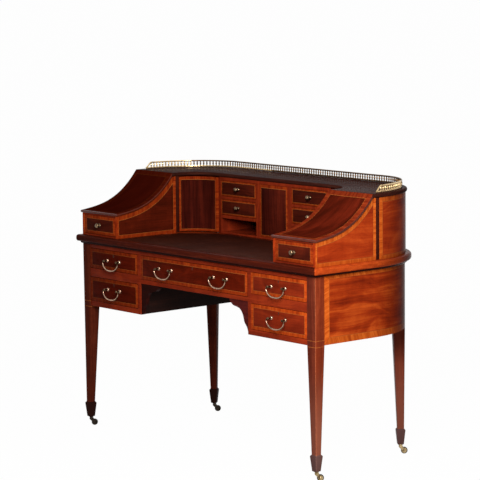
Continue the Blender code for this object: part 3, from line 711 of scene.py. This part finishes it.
mahogany = make_wood("mahogany", (40, 7, 4), (85, 13, 6), (150, 26, 10), gloss=0.13)
red_mahogany = make_wood("red mahogany", (110, 11, 4), (200, 20, 6), (300, 34, 8))
leg_strings = ((0.5032, 0.0013), (0.4808, 0.0013))
# Painted light on the legs: one mahogany in lit and shaded copies, lighter on the side faces towards the
# lamp, with a painted highlight down the front-right arris, and the left legs in painted shade
leg_wood = make_wood(
    "leg mahogany", (70, 11, 6), (120, 20, 10), (190, 36, 16), 0.3, 0.6, strings=leg_strings,
    foot=(70, 42, 42), pale=(175, 55, 35))
lit_leg_side_wood = make_wood(
    "leg side mahogany", (110, 15, 6), (200, 29, 10), (300, 52, 17), 0.3, 0.6, strings=leg_strings,
    foot=(100, 60, 58), pale=(270, 88, 52))
arris_highlight_wood = make_wood(
    "worn arris mahogany", (420, 120, 50), (560, 170, 70), (700, 230, 100), foot=(200, 130, 120))
shaded_left_leg_wood = make_wood(
    "left leg mahogany", (40, 7, 4), (80, 13, 6), (130, 24, 10), 0.3, 0.6, strings=leg_strings,
    foot=(10, 6, 5))
# Painted shade: the kneehole's brackets, the left one deeper in shade
dark_bracket_wood = make_wood("dark bracket mahogany", (12, 3, 2), (22, 4, 3), (36, 6, 5))
bracket_wood = make_wood("bracket mahogany", (35, 6, 5), (65, 9, 8), (100, 14, 11))
# Painted shade: the box posts are near black, standing for the shaded recess between door and drawer
post_wood = make_wood("post mahogany", (18, 4, 3), (40, 8, 5), (75, 14, 8))
shelf_wood = make_wood("shelf mahogany", (18, 5, 4), (40, 10, 7), (70, 20, 12), gloss=0.0008)
top_wood = make_top_wood("top mahogany")
# Painted light on the drawers: the right-hand ones take a lit, redder copy of the veneer, and the others
# darken towards the left
drawer_veneer = make_veneer(
    "drawer veneer", ((42, 4, 1), (88, 7, 2), (145, 12, 3)), band_tones, (12.5, 12.5, 12.5),
    shade=(0, -1, 0.1, 0.6, 0.5))
lit_red_drawer_veneer = make_veneer(
    "red drawer veneer", ((100, 9, 3), (180, 17, 5), (270, 28, 7)), red_band_tones, (12.5, 12.5, 12.5))
small_veneer = make_veneer(
    "small drawer veneer", ((30, 5, 3), (60, 8, 4), (100, 13, 5)), band_tones, (6, 6, 6))
box_veneer = make_veneer(
    "box drawer veneer", ((30, 5, 3), (60, 8, 4), (105, 13, 5)), band_tones, (14, 12, 12))
door_veneer = make_veneer(
    "door veneer", ((22, 3, 2), (58, 7, 4), (120, 14, 6)), band_tones, (8, 8, 12), flame=0.2, ribbon=1.2)
# Painted shade: the lids darken towards the left
lid_veneer = make_veneer(
    "lid veneer", ((40, 5, 2), (80, 8, 3), (140, 14, 5)), dim_band_tones, (20, 16, 20), gloss=0,
    shade=(0, -1, 0, 0.3, 0.8))
# Painted shade: the end panels, the back and the box sides darken towards the back, where they turn from the
# lamp
end_veneer = make_veneer(
    "end panel veneer", ((130, 10, 3), (310, 31, 5), (540, 85, 12)), bright_band_tones, (24, 24, 13),
    flame=0.7, ribbon=1.1, slant=0.35, shade=(1, 1, -0.04, 0.24, 0.85))
box_side_veneer = make_veneer(
    "box side veneer", ((190, 15, 4), (340, 34, 6), (500, 68, 11)), bright_band_tones, (13, 13, 16),
    flame=0.8, ribbon=0.8, shade=(1, 1, -0.04, 0.24, 0.55))
inner_side_veneer = make_veneer(
    "inner side veneer", ((40, 5, 2), (85, 9, 3), (150, 16, 5)), band_tones, (13, 13, 18),
    flame=0.9, ribbon=0.6)
# Painted shade: near-black plain wood for the solids inside the case, which lie in the kneehole's shade
shaded_carcase_wood = make_plain("shaded carcase wood", (7, 3, 2), (12, 4, 3), (20, 6, 4), 1)
lining_wood = make_wood("drawer lining", (150, 70, 28), (230, 115, 48), (310, 170, 75), 0.2, 0.5)
brass = make_brass("brass", (460, 290, 200), (130, 73, 46), 0.2, 0.14)
# Painted shade: a darker copy of the handles' brass for their shaded faces
shaded_brass = make_brass("shaded brass", (85, 55, 26), (30, 18, 9), 0.3, 0.2)
gallery_brass = make_brass("gallery brass", (720, 520, 270), (260, 170, 80), 0.24, 0.12)
# Painted shade: a darker copy of the gallery brass for its back run
dark_gallery_brass = make_brass("dark gallery brass", (150, 82, 36), (52, 27, 12), 0.34, 0.2)
# Near-black brass, for the wheels' treads and, as painted shade, for the left castors
black_and_shaded_brass = make_brass("blackened and shaded brass", (30, 22, 17), (10, 8, 6), 0.3, 0.2)
knob_brass = make_brass("knob brass", (200, 130, 75), (60, 36, 22), 0.18, 0.2)
castor_brass = make_brass("castor brass", (480, 360, 190), (120, 75, 35), 0.26, 0.2)
leather = make_leather("writing leather")
# Painted shade: the near black of a keyhole's inside
keyhole_dark = make_dark("keyhole", (4, 3, 3))


# The top and its leather

def make_desk_top():
    low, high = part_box("desk_top")
    board_low = high.z - top_board
    corner = 0.013
    parts = []
    layers = ((top_reach, board_low, high.z, 0.0085, 0.01),
              (moulding_reach, low.z, board_low + 0.001, 0.0075, 0))
    for reach, bottom, top, under, over in layers:
        centre = (half_width + reach - corner, front - reach + corner)
        right = arc(centre, (corner, corner), -math.pi / 2, 0, 12)
        right += right_line(-reach, corner_y)
        work = slab(right + mirrored(right), bottom, top)
        if over:
            soften_edges(work, edges_at(work, 2, top), over, 6)
        soften_edges(work, edges_at(work, 2, bottom), under, 5)
        parts.append(lay_grain(work, (1, 0, 0), 0.3))
    piece("moulded_top", gather(parts), [top_wood], "case", ["desk_top"], 50)

    # The leather is laid a hair higher than the board round it
    work = moved(softened_copy("writing_leather", 0), Matrix.Translation((0, 0, seam)))
    soften_edges(work, edges_at(work, 2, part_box("writing_leather")[1].z + seam), 0.0004)
    piece("leather_sheet", lay_grain(work, (1, 0, 0)), [leather], "case", ["writing_leather"])


def make_legs():
    # The front-right leg's side faces are painted lit and its arris carries a painted highlight; the left
    # legs are painted in shade
    woods = {"front_right": [leg_wood, lit_leg_side_wood, arris_highlight_wood], "rear_right": [leg_wood]}
    for name in corners:
        work = lay_grain(softened_copy(f"leg_{name}", 0.0014, 3), (0, 0, 1), 0.2 * len(name))
        own = woods.get(name, [shaded_left_leg_wood])
        for face in work.faces:
            on_arris = face.normal.x > 0.3 and face.normal.y < -0.3
            face.material_index = min(2 if on_arris else int(face.normal.x > 0.6), len(own) - 1)
        piece(f"tapered_leg_{name}", work, own, "case", [f"leg_{name}"])


def make_front_frame():
    """Rails and stiles, with the kneehole's brackets set back a little between them and painted dark as
    shade, the left one darker still.
    """
    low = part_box("front_frame")[0].z
    work = softened_copy("front_frame", 0)
    for vert in work.verts:
        if abs(vert.co.x) < knee - 0.0001 and vert.co.z < rail_low - 0.0001:
            vert.co.x = math.copysign(knee, vert.co.x)
            if vert.co.z > rail_low - 0.012:
                vert.co.z = rail_low
    soften_edges(work, sharp_edges(tidied(work)), 0.001)
    parts = [lay_grain(work, (1, 0, 0), 0.7)]
    curve = (
        (208, 605.5), (211, 597.5), (225, 585.5), (236, 581.5), (249, 579.5), (263, 575.7), (274, 567.7),
        (282.5, 555.7), (287.8, 541.8), (292.2, 527.5), (299, 519), (307, 509), (312.5, 494.5),
        (315.5, low * 1000))
    # The bracket's straight sides are hidden behind the stile and the rail
    behind, above = knee + 0.0015, rail_low + 0.0005
    for side in sides.values():
        outline = smooth_line([Vector(place) / 1000 for place in curve], 3)
        outline += [Vector((behind, low)), Vector((behind, above)), Vector((0.208, above))]
        bracket = slab([(side * point.x, point.y) for point in outline], -0.019, -0.0035)
        parts.append(to_front(lay_grain(bracket, (1, 0, 0), 0.3, 1 if side > 0 else 2), (0, front, 0)))
    woods = [red_mahogany, bracket_wood, dark_bracket_wood]
    piece("front_rails", gather(parts), woods, "case", ["front_frame"])


def bow(outer, inner, low, high):
    """A wall round the back, between two lines of its right-hand half."""
    return slab(outer + mirrored(outer) + (inner + mirrored(inner))[::-1], low.z, high.z)


def make_bow(name, node, lines, veneer, margin=0):
    """A bowed wall, veneered as one panel from one front end round to the other."""
    low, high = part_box(node)
    outer, inner = lines
    work = lay_grain(bow(outer, inner, low, high), (1, 0, 0), 0.4)
    first, last = way_round(outer[0]), way_round(mirrored(outer)[-1])
    bounds = ((first + margin, low.z), (last - margin, high.z))
    lay_panel(work, around, lambda co: (way_round(co), co.z), bounds)
    piece(name, work, [veneer], "case", [node])


def make_end_panels():
    low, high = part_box("end_panel_right")
    joint = leg_joint / math.hypot(corner_reach * math.sin(rear_angle), corner_depth * math.cos(rear_angle))
    first_y = front + leg_inner + seam
    for name, side in sides.items():
        outer, inner = (right_line(inset, first_y, rear_angle - joint) for inset in (0, panel_thickness))
        work = slab([(side * point.x, point.y) for point in outer + inner[::-1]], low.z, high.z)
        lay_grain(work, (0, 1, 0), 0.4)
        lay_panel(work, around, lambda co: (way_round((abs(co.x), co.y)), co.z),
                  ((first_y - front, low.z), (way_round(outer[-1]), high.z)), 0.11 * (side + 2))
        piece(f"bowed_end_{name}", work, [end_veneer], "case", [f"end_panel_{name}"])
    angles = spread(rear_angle + joint, math.pi / 2, curve_steps)
    lines = ([corner_point(angle, inset) for angle in angles] for inset in (0, panel_thickness))
    make_bow("bowed_back", "back_panel", lines, end_veneer)


# Drawers and their brasswork

def make_drawer(node, face_y, veneer, shift, thickness, wall, floor):
    """A drawer: a veneered front with an open box of thinner stuff behind it."""
    low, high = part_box(node)
    front_low = Vector((low.x, face_y, low.z + 0.001))
    front_board = lay_grain(board(front_low, (high.x, face_y + thickness, high.z)), (1, 0, 0), shift)
    lay_front(front_board, front_low, high, shift)
    # The box starts inside the front and stands lower than it
    box = tray((low.x, face_y + thickness - 0.002, low.z), (high.x, high.y, high.z - 0.008), wall, floor)
    lay_grain(box, (0, 1, 0), shift, 1)
    piece(f"{node}_wood", gather([front_board, box]), [veneer, lining_wood], node, [node])


def to_front(work, place):
    return moved(work, Matrix.Translation(place) @ quarter_turn)


def make_post(place):
    """A handle's post: a domed rose, a plain neck and a round head that holds the bail's end."""
    profile = (
        (0, 21.5), (2, 21.2), (3.6, 20.4), (4.6, 19), (5, 17.3), (4.6, 15.6), (3.5, 14.2), (2.8, 13.4),
        (2.5, 12), (2.5, 8.5), (2.5, 7), (4, 6.1), (5.6, 4.8), (6.7, 3.2), (7.3, 1.6), (7.5, 1), (7.5, -0.5),
        (0, -0.5))
    return to_front(turned(profile), place)


def tarnish_and_shade(work, chosen):
    """Turn the chosen faces to the second metal, the painted shade on the brass."""
    for face in closed(work).faces:
        face.material_index = int(chosen(face.normal, face.calc_center_median()))


def make_bail(place):
    """A swan-neck bail, thicker in the middle, that hangs outside its posts."""
    shape = (
        (4.4, 0), (6.6, -0.5), (9.2, -3.6), (9.8, -9), (7, -16.5), (0.8, -24.3), (-8.5, -30.8), (-20.5, -35),
        (-37.5, -36.4))
    points = [place + Vector((side * (handle_pitch / 2 + x / 1000), 0, z / 1000))
              for side, row in ((1, shape), (-1, shape[-2::-1])) for x, z in row]
    line = smooth_line(points, 4)
    middle = len(line) // 2
    widths = [0.8 + 0.5 * math.exp(-((n - middle) / (middle * 0.42)) ** 2) for n in range(len(line))]
    section = arc((0, 0), (0.0026, 0.0026), 0, math.pi * 9 / 5, 9)
    return drawn(section, stations_along(line, widths, Vector((0, -1, 0))))


def make_keyhole(place):
    """A small brass-lined keyhole: a round eye over a short slot."""
    def shape(radius, slot, drop, index, height):
        start = math.asin(slot / radius)
        outline = arc((0, 0), (radius, radius), start - math.pi / 2, math.pi * 3 / 2 - start, 16)
        work = slab(outline + [(-slot * 1.3, -drop), (slot * 1.3, -drop)], -0.001, height)
        return lay_grain(work, (1, 0, 0), 0, index)
    rim = shape(0.0024, 0.0012, 0.007, 0, 0.0003)
    # The eye is a near-black inlay: painted shade inside the keyhole
    eye = shape(0.0017, 0.0007, 0.0062, 1, 0.0005)
    return to_front(gather([rim, eye]), place)


def make_lower_drawers():
    metals = [brass, shaded_brass]
    for n, name in enumerate(("upper_left", "upper_right", "lower_left", "lower_right", "centre"), 1):
        node = f"drawer_{name}"
        # Painted light: the right-hand drawers take the lit copy of the veneer
        veneer = lit_red_drawer_veneer if name.endswith("right") else drawer_veneer
        make_drawer(node, front, veneer, 0.37 * n, thickness=0.018, wall=0.009, floor=0.006)
        posts = []
        for label in [f"{name}_left", f"{name}_right"] if name == "centre" else [name]:
            low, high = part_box(f"handle_bail_{label}")
            pivot = (low + high) / 2
            pivot.z = high.z - 0.0019
            bail = make_bail(pivot)
            # Painted shade: the bail's undersides and its ends by the posts take the darker brass
            tarnish_and_shade(bail, lambda normal, at: normal.z < -0.35 or at.z > pivot.z - 0.009)
            piece(f"bail_{label}", bail, metals, f"bail_{label}", [f"handle_bail_{label}"], 60)
            posts += [make_post((pivot.x + side * handle_pitch / 2, front, pivot.z)) for side in (-1, 1)]
        work = gather(posts)
        # Painted light: beyond the roses only the upward faces of the posts stay bright, the rest is painted
        # shade
        tarnish_and_shade(work, lambda normal, at: at.y < front - 0.0065 and normal.z < 0.75)
        piece(f"posts_{name}", work, metals, node, crease=40)
        low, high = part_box(node)
        keyhole = make_keyhole(((low.x + high.x) / 2, front, high.z - 0.0175))
        piece(f"keyhole_{name}", keyhole, [knob_brass, keyhole_dark], node)


def make_knobs():
    profile = (
        (0, 21), (3, 20.7), (6, 19.6), (8.4, 17.7), (9.8, 15.3), (10.2, 13.6), (9.3, 11.5), (6.8, 9.4),
        (4.6, 7.8), (3.9, 6), (4.2, 4.4), (6, 3.4), (7.3, 2.6), (7.6, 1.3), (7.6, 0), (0, 0))
    for name in ("box_left", "box_right", "upper_left", "upper_right", "lower_left", "lower_right"):
        low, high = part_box(f"knob_{name}")
        place = (low + high) / 2
        place.y = high.y
        body = name.replace("box", "box_drawer") if name.startswith("box") else f"small_drawer_{name}"
        knob = to_front(turned(profile, 28), place)
        piece(f"turned_knob_{name}", knob, [knob_brass], body, [f"knob_{name}"], 60)


# The side boxes and their swept lids

def swept_wall(side, outer_x, inner_x, base, index=0):
    """One of a side box's walls under its lid, and its two faces veneered."""
    ys = spread(front, front + sweep_run + seam, sweep_steps)
    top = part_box(f"side_box_{'right' if side > 0 else 'left'}")[1].z
    work = bmesh.new()
    low_verts = [work.verts.new((side * outer_x, y, base)) for y in ys + [wall_end]]
    edges = [work.edges.new(pair) for pair in zip(low_verts, low_verts[1:])]
    for vert in verts_in(bmesh.ops.extrude_edge_only(work, edges=edges)):
        vert.co.z = top if vert.co.y > ys[-1] + 0.0001 else sweep_under(vert.co.y, seam)
    extrude(work, list(work.faces), (side * (inner_x - outer_x), 0, 0), True)
    lay_grain(closed(work), (0, 1, 0), 0.5)

    def bounds(co):
        rise = (sweep_under(co.y) - co.z) / sweep_stretch(co.y)
        return (front - 0.0055, base), (wall_end, co.z + max(rise, 0))

    lay_panel(work, lambda face: abs(face.normal.x) > 0.9, lambda co: (co.y, co.z), bounds, 0.2 * (side + 2),
              index=index)
    return work


def make_side_boxes():
    for name, side in sides.items():
        node = f"side_box_{name}"
        low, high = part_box(node)
        base, top = low.z, high.z
        floor, ceiling = base + 0.006, base + 0.081
        plank_end = front + 0.26
        parts = [swept_wall(side, box_outer, box_outer - box_wall, base),
                 swept_wall(side, box_inner, box_inner + box_wall, base, 3)]
        spans = sorted((side * (box_inner + box_wall), side * (box_outer - box_wall)))
        planks = (((front, base), (plank_end, floor)),
                  ((front, ceiling), (plank_end, ceiling + 0.006)),
                  ((front + 0.001, ceiling), (front + box_wall, sweep_under(front, seam))),
                  ((wall_end - box_wall, base), (wall_end, top)))
        for lows, highs in planks:
            parts.append(lay_grain(board((spans[0], *lows), (spans[1], *highs), 0), (1, 0, 0), 0.6, 1))
        # The posts take the near-black post wood: painted shade for the recess beside them
        post_x = corner_point(corner_angle(-upper_reach, post_end), -upper_reach).x - seam
        for low_x, high_x in ((post_x - box_wall, post_x), (box_inner + seam, box_inner + box_wall)):
            xs = sorted((side * low_x, side * high_x))
            post = board((xs[0], wall_end, base + seam), (xs[1], post_end, top - seam), 0.0005)
            parts.append(lay_grain(post, (0, 0, 1), 0.8, 2))
        woods = [box_side_veneer, red_mahogany, post_wood, inner_side_veneer]
        piece(f"swept_box_{name}", gather(parts), woods, "case", [node])
        make_lid(name, side)


def make_lid(name, side):
    """A swept lid: crossbanding on its face, a rounded nose and thumb-moulded sides of solid wood."""
    thumb = 0.0047
    nose = lid_thickness / 2
    nose_y = front + nose + lid_nose
    nose_z = sweep_top(front) - nose
    round_nose = arc((nose_y, nose_z), (nose, nose), -math.pi / 2, -math.pi * 3 / 2, 12)
    later = [y for y in spread(front, front + sweep_run, sweep_steps) if y > nose_y + 0.001]
    outline = round_nose + [(y, sweep_top(y)) for y in later] + [(y, sweep_under(y)) for y in reversed(later)]
    xs = sorted((side * (box_inner - shelf_lip), side * (box_outer + shelf_lip)))
    # The outline lies flat with its depth along x, so it is stood up into its place
    work = closed(moved(slab(outline, *xs), Matrix(((0, 0, 1, 0), (1, 0, 0, 0), (0, 1, 0, 0), (0, 0, 0, 1)))))
    soften_edges(work, edges_at(work, 0, *xs), thumb, 5)
    line = [Vector((y, sweep_top(y))) for y in spread(front, front + sweep_run, length_steps)]
    lengths = lengths_along(line)

    def run(co):
        return co.x, read_off(lengths, (co.y - front) / sweep_run * length_steps) + min(0, co.y - front)

    def on_face(face):
        return face.normal.z > 0.15 and abs(face.normal.x) <= 0.7 and face.calc_center_median().y >= nose_y

    lay_grain(work, (0, 1, 0), 0.9, 1)
    lay_panel(work, on_face, run, ((xs[0] + thumb, 0), (xs[1] - thumb, lengths[-1])), 0.3, True)
    piece(f"swept_lid_{name}", work, [lid_veneer, mahogany], "case", [f"lid_{name}"], 50)


# The back range, its doors and the shelf

def make_curved_back():
    lines = (right_line(inset - upper_reach, post_end + seam) for inset in (0, box_wall))
    make_bow("curved_wall", "curved_back", lines, box_side_veneer, 0.004)


def make_rear_range():
    work = lay_grain(softened_copy("rear_range", 0.0006), (0, 0, 1), 0.25)
    piece("range_frame", work, [red_mahogany], "case", ["rear_range"])
    drawers = [
        (f"small_drawer_{level}_{side}", small_veneer) for side in sides for level in ("upper", "lower")]
    drawers += [(f"box_drawer_{side}", box_veneer) for side in sides]
    for (node, veneer), shift in zip(drawers, (0.29, 0.58, 0.87, 1.16, 1.66, 1.66)):
        make_drawer(node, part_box(node)[0].y, veneer, shift, thickness=0.012, wall=0.006, floor=0.004)


def make_doors():
    low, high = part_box("door_centre")
    work = lay_grain(board(low, high, 0.0006), (0, 0, 1), 0.15)
    lay_front(work, low, high, 0.2, True)
    piece("middle_door", work, [door_veneer], "door_centre", ["door_centre"])
    near, far = door_arc(0), door_arc(0.012)
    lengths = lengths_along(near)

    def run(co):
        angle = math.atan2((co.y - door_centre.y) / door_depth, (abs(co.x) - door_centre.x) / door_reach)
        return read_off(lengths, angle / (math.pi / 2) * door_steps), co.z

    for name, side in sides.items():
        low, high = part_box(f"door_corner_{name}")
        work = slab([(side * point.x, point.y) for point in far + near[::-1]], low.z, high.z)
        lay_grain(work, (0, 0, 1), 0.45)
        lay_panel(work, around, run, ((0, low.z), (lengths[-1], high.z)), 0.6, True)
        piece(f"hollow_door_{name}", work, [door_veneer], f"door_corner_{name}", [f"door_corner_{name}"])


def make_shelf():
    low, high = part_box("gallery_shelf")
    inner = [Vector((box_inner - shelf_lip, low.y))] + door_arc(-shelf_lip)
    reach = upper_reach + shelf_lip
    outer = [Vector((half_width + reach, low.y))] + right_line(-reach, corner_y)
    work = bow(outer, inner, low, high)
    for level in (high.z, low.z):
        soften_edges(work, edges_at(work, 2, level), 0.0058, 5)
    piece("moulded_shelf", lay_grain(work, (1, 0, 0), 0.15), [shelf_wood], "case", ["gallery_shelf"], 50)


# The pierced gallery

def make_gallery():
    low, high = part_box("gallery")
    inset, pitch, slope = 0.012, 0.013, 0.026
    start = front + sweep_run + 0.0346
    right = right_line(inset, start, steps=96)
    route = right + mirrored(right)[1:]
    lengths = lengths_along(route)
    total = lengths[-1]

    def at(distance):
        step = min(bisect_left(lengths, distance, 1), len(lengths) - 1)
        share = (distance - lengths[step - 1]) / (lengths[step] - lengths[step - 1])
        return route[step - 1].lerp(route[step], share)

    foot, head = low.z + 0.0031, high.z - 0.0029

    def make_rail(across, tall, level):
        """A rail at the foot, or one that climbs from there to a level at both of its ends."""
        level_from = slope * 1.2
        ramp = [0.0015, *spread(slope / 8, slope, 7), level_from]
        distances = ramp + spread(level_from, total - level_from, 220)[1:-1]
        distances += [total - distance for distance in reversed(ramp)]
        points = []
        for distance in distances:
            share = min(1, min(distance, total - distance) / slope)
            rise = share * share * (3 - 2 * share) * 0.6 + share * 0.4
            points.append(at(distance).to_3d() + Vector((0, 0, foot + (level - foot) * rise)))
        section = arc((0, 0), (across * 1.08, tall * 1.08), math.pi / 8, math.pi * 15 / 8, 7)
        return drawn(section, stations_along(points))

    parts = [make_rail(0.0016, 0.0031, foot), make_rail(0.0022, 0.0027, head)]
    profile = (
        (1.9, 1), (1.9, 0.9), (2.9, 0.86), (1.9, 0.78), (2.6, 0.66), (3.6, 0.52), (2.6, 0.38), (1.9, 0.28),
        (2.9, 0.18), (2.1, 0.1), (2.1, 0))
    profile = [(radius, share * (head - foot) * 1000) for radius, share in profile]
    bays = round((total - 2 * slope) / pitch)
    for n in range(bays + 1):
        place = at(slope + (total - 2 * slope) * n / bays)
        parts.append(moved(turned(profile, 8), Matrix.Translation((place.x, place.y, foot))))
    work = gather(parts)
    # Painted shade: the back run, seen from inside and facing away from the lamp, takes the darker brass
    for face in work.faces:
        centre = face.calc_center_median()
        on_base = centre.z < foot + 0.0032
        face.material_index = int(centre.y > 0.14 and (-0.22 if on_base else -0.6) < centre.x < 0.6)
    piece("pierced_gallery", work, [gallery_brass, dark_gallery_brass], "case", ["gallery"], 50)


# Castors

def make_castors():
    fork_profile = (
        (0, 35.7), (10, 35.7), (10.4, 35), (10, 34.3), (7.6, 33.8), (6.2, 32.5), (5.6, 30.5), (6.2, 28.5),
        (7, 27.2), (7, 26.2), (0, 26.2))
    half_wheel = (
        (2.1, 4.5), (4, 4.5), (4.3, 4), (9.5, 3.8), (10, 4.5), (11.2, 4.5), (12.2, 3.8), (12.5, 2.6))
    wheel_profile = [*half_wheel, *((radius, -z) for radius, z in reversed(half_wheel)), half_wheel[0]]
    half_pin = ((0, 8), (1.6, 7.8), (2.6, 7.2), (2.6, 6.7), (2, 6.6))
    pin_profile = [*half_pin, *((radius, -z) for radius, z in reversed(half_pin))]
    trail = math.radians(50)
    hub = Vector((0.014, 0.0125))
    cheek_thickness = 0.0018
    axle = Matrix.Translation((hub.x, 0, hub.y)) @ quarter_turn
    joints = {joint["name"]: joint for joint in frame["joints"]}
    for name in corners:
        place = Vector(joints[f"castor_{name}_swivel"]["pos_m"])
        swing = Matrix.Translation((place.x, place.y, 0)) @ Matrix.Rotation(trail, 4, "Z")
        parts = [turned(fork_profile, 28)]
        for start in (-0.0067, 0.0049):
            eye = arc(hub, (0.005, 0.005), math.radians(-130), math.radians(40), 12)
            outline = [(-0.0058, 0.0343), (-0.0058, 0.0245), *eye, (0.0092, 0.0262), (0.0064, 0.0343)]
            cheek = slab(outline, -start - cheek_thickness, -start)
            soften_edges(cheek, edges_at(cheek, 2, -start, -start - cheek_thickness), 0.0004)
            parts.append(moved(cheek, quarter_turn))
        parts.append(moved(turned(pin_profile, 16), axle))
        # Painted shade: the left castors are near black, the right ones bright brass
        metal = black_and_shaded_brass if name.endswith("left") else castor_brass
        piece(f"fork_{name}", moved(gather(parts), swing), [metal], f"castor_{name}", [f"castor_fork_{name}"])
        wheel = turned(wheel_profile, 40)
        for face in wheel.faces:
            face.material_index = int(face.calc_center_median().xy.length > 0.0104)
        moved(wheel, swing @ axle)
        piece(f"wheel_rim_{name}", wheel, [metal, black_and_shaded_brass], f"wheel_{name}", [f"castor_wheel_{name}"])


make_desk_top()
make_legs()
make_front_frame()
make_end_panels()
make_lower_drawers()
make_knobs()
make_side_boxes()
make_curved_back()
make_rear_range()
make_doors()
make_shelf()
make_gallery()
make_castors()
# The pedestals and the centre board are painted near black, as the kneehole's shade
for node in ("pedestal_left", "pedestal_right", "centre_board"):
    nodes[node].data.materials.clear()
    nodes[node].data.materials.append(shaded_carcase_wood)


# Floor, light and camera

def seen_directly(tree, gain, base):
    """A gain for rays from the camera, from a mirror or through glass, on top of a base for the rest."""
    rays = add_node(tree, "LightPath").outputs
    seen = Value(tree, rays["Is Camera Ray"])
    for other in ("Is Glossy Ray", "Is Transmission Ray"):
        seen = seen.maths("MAXIMUM", Value(tree, rays[other]))
    return seen.maths("MULTIPLY_ADD", gain, base).socket


def make_white(name):
    """White to the camera, and a plain pale surface to the light."""
    material = bpy.data.materials.new(name)
    material.use_nodes = True
    tree = material.node_tree
    tree.nodes.clear()
    plain = add_node(tree, "BsdfDiffuse", Color=(0.82, 0.82, 0.82, 1))
    glow = add_node(tree, "Emission", Strength=1)
    shaders = (seen_directly(tree, 0.985, 0), plain.outputs[0], glow.outputs[0])
    add_node(tree, "OutputMaterial", Surface=add_node(tree, "MixShader", terms=shaders).outputs[0])
    return material


floor_mesh = bpy.data.meshes.new("floor")
floor_work = bmesh.new()
bmesh.ops.create_grid(floor_work, x_segments=1, y_segments=1, size=300)
floor_work.to_mesh(floor_mesh)
floor_work.free()
floor = bpy.data.objects.new("floor", floor_mesh)
floor_mesh.materials.append(make_white("pale floor"))
scene.collection.objects.link(floor)

world = bpy.data.worlds.new("studio")
scene.world = world
world.use_nodes = True
tree = world.node_tree
ground = tree.nodes["Background"]
ground.inputs["Color"].default_value = (1, 1, 1, 1)
tree.links.new(seen_directly(tree, 0.87, 0.13), ground.inputs["Strength"])


def add_lamp(name, place, target, size, power, colour=(1, 1, 1)):
    data = bpy.data.lights.new(name, "AREA")
    data.shape = "RECTANGLE"
    data.size, data.size_y = size
    data.energy = power
    data.color = colour
    lamp = bpy.data.objects.new(name, data)
    lamp.location = place
    lamp.rotation_euler = (Vector(target) - Vector(place)).to_track_quat("-Z", "Y").to_euler()
    scene.collection.objects.link(lamp)


add_lamp("key lamp", (2, -1.7, 1.8), (0.4, 0, 0.7), (0.8, 1), 86, (1, 0.97, 0.93))
add_lamp("top lamp", (0.2, 0.2, 4.2), (0, 0, 0.8), (2, 2), 15)

# The camera was solved from the photograph: a focal length in pixels, its turns and its place
focal_pixels = 2279.5
picture_pixels = 480
sensor = 36
yaw, pitch, roll = 0.8691, -0.1243, -0.01
camera_data = bpy.data.cameras.new("camera")
camera_data.sensor_width = sensor
camera_data.lens = focal_pixels * sensor / picture_pixels
camera = bpy.data.objects.new("camera", camera_data)
ahead = Vector((-math.sin(yaw) * math.cos(pitch), math.cos(yaw) * math.cos(pitch), math.sin(pitch)))
flat_right = Vector((math.cos(yaw), math.sin(yaw), 0))
above = flat_right.cross(ahead)
right = flat_right * math.cos(roll) + above * math.sin(roll)
above = above * math.cos(roll) - flat_right * math.sin(roll)
turn = Matrix((right, above, -ahead)).transposed().to_4x4()
camera.matrix_world = Matrix.Translation((6.5315, -5.587, 1.85)) @ turn
scene.collection.objects.link(camera)
scene.camera = camera
scene.view_settings.view_transform = "Standard"
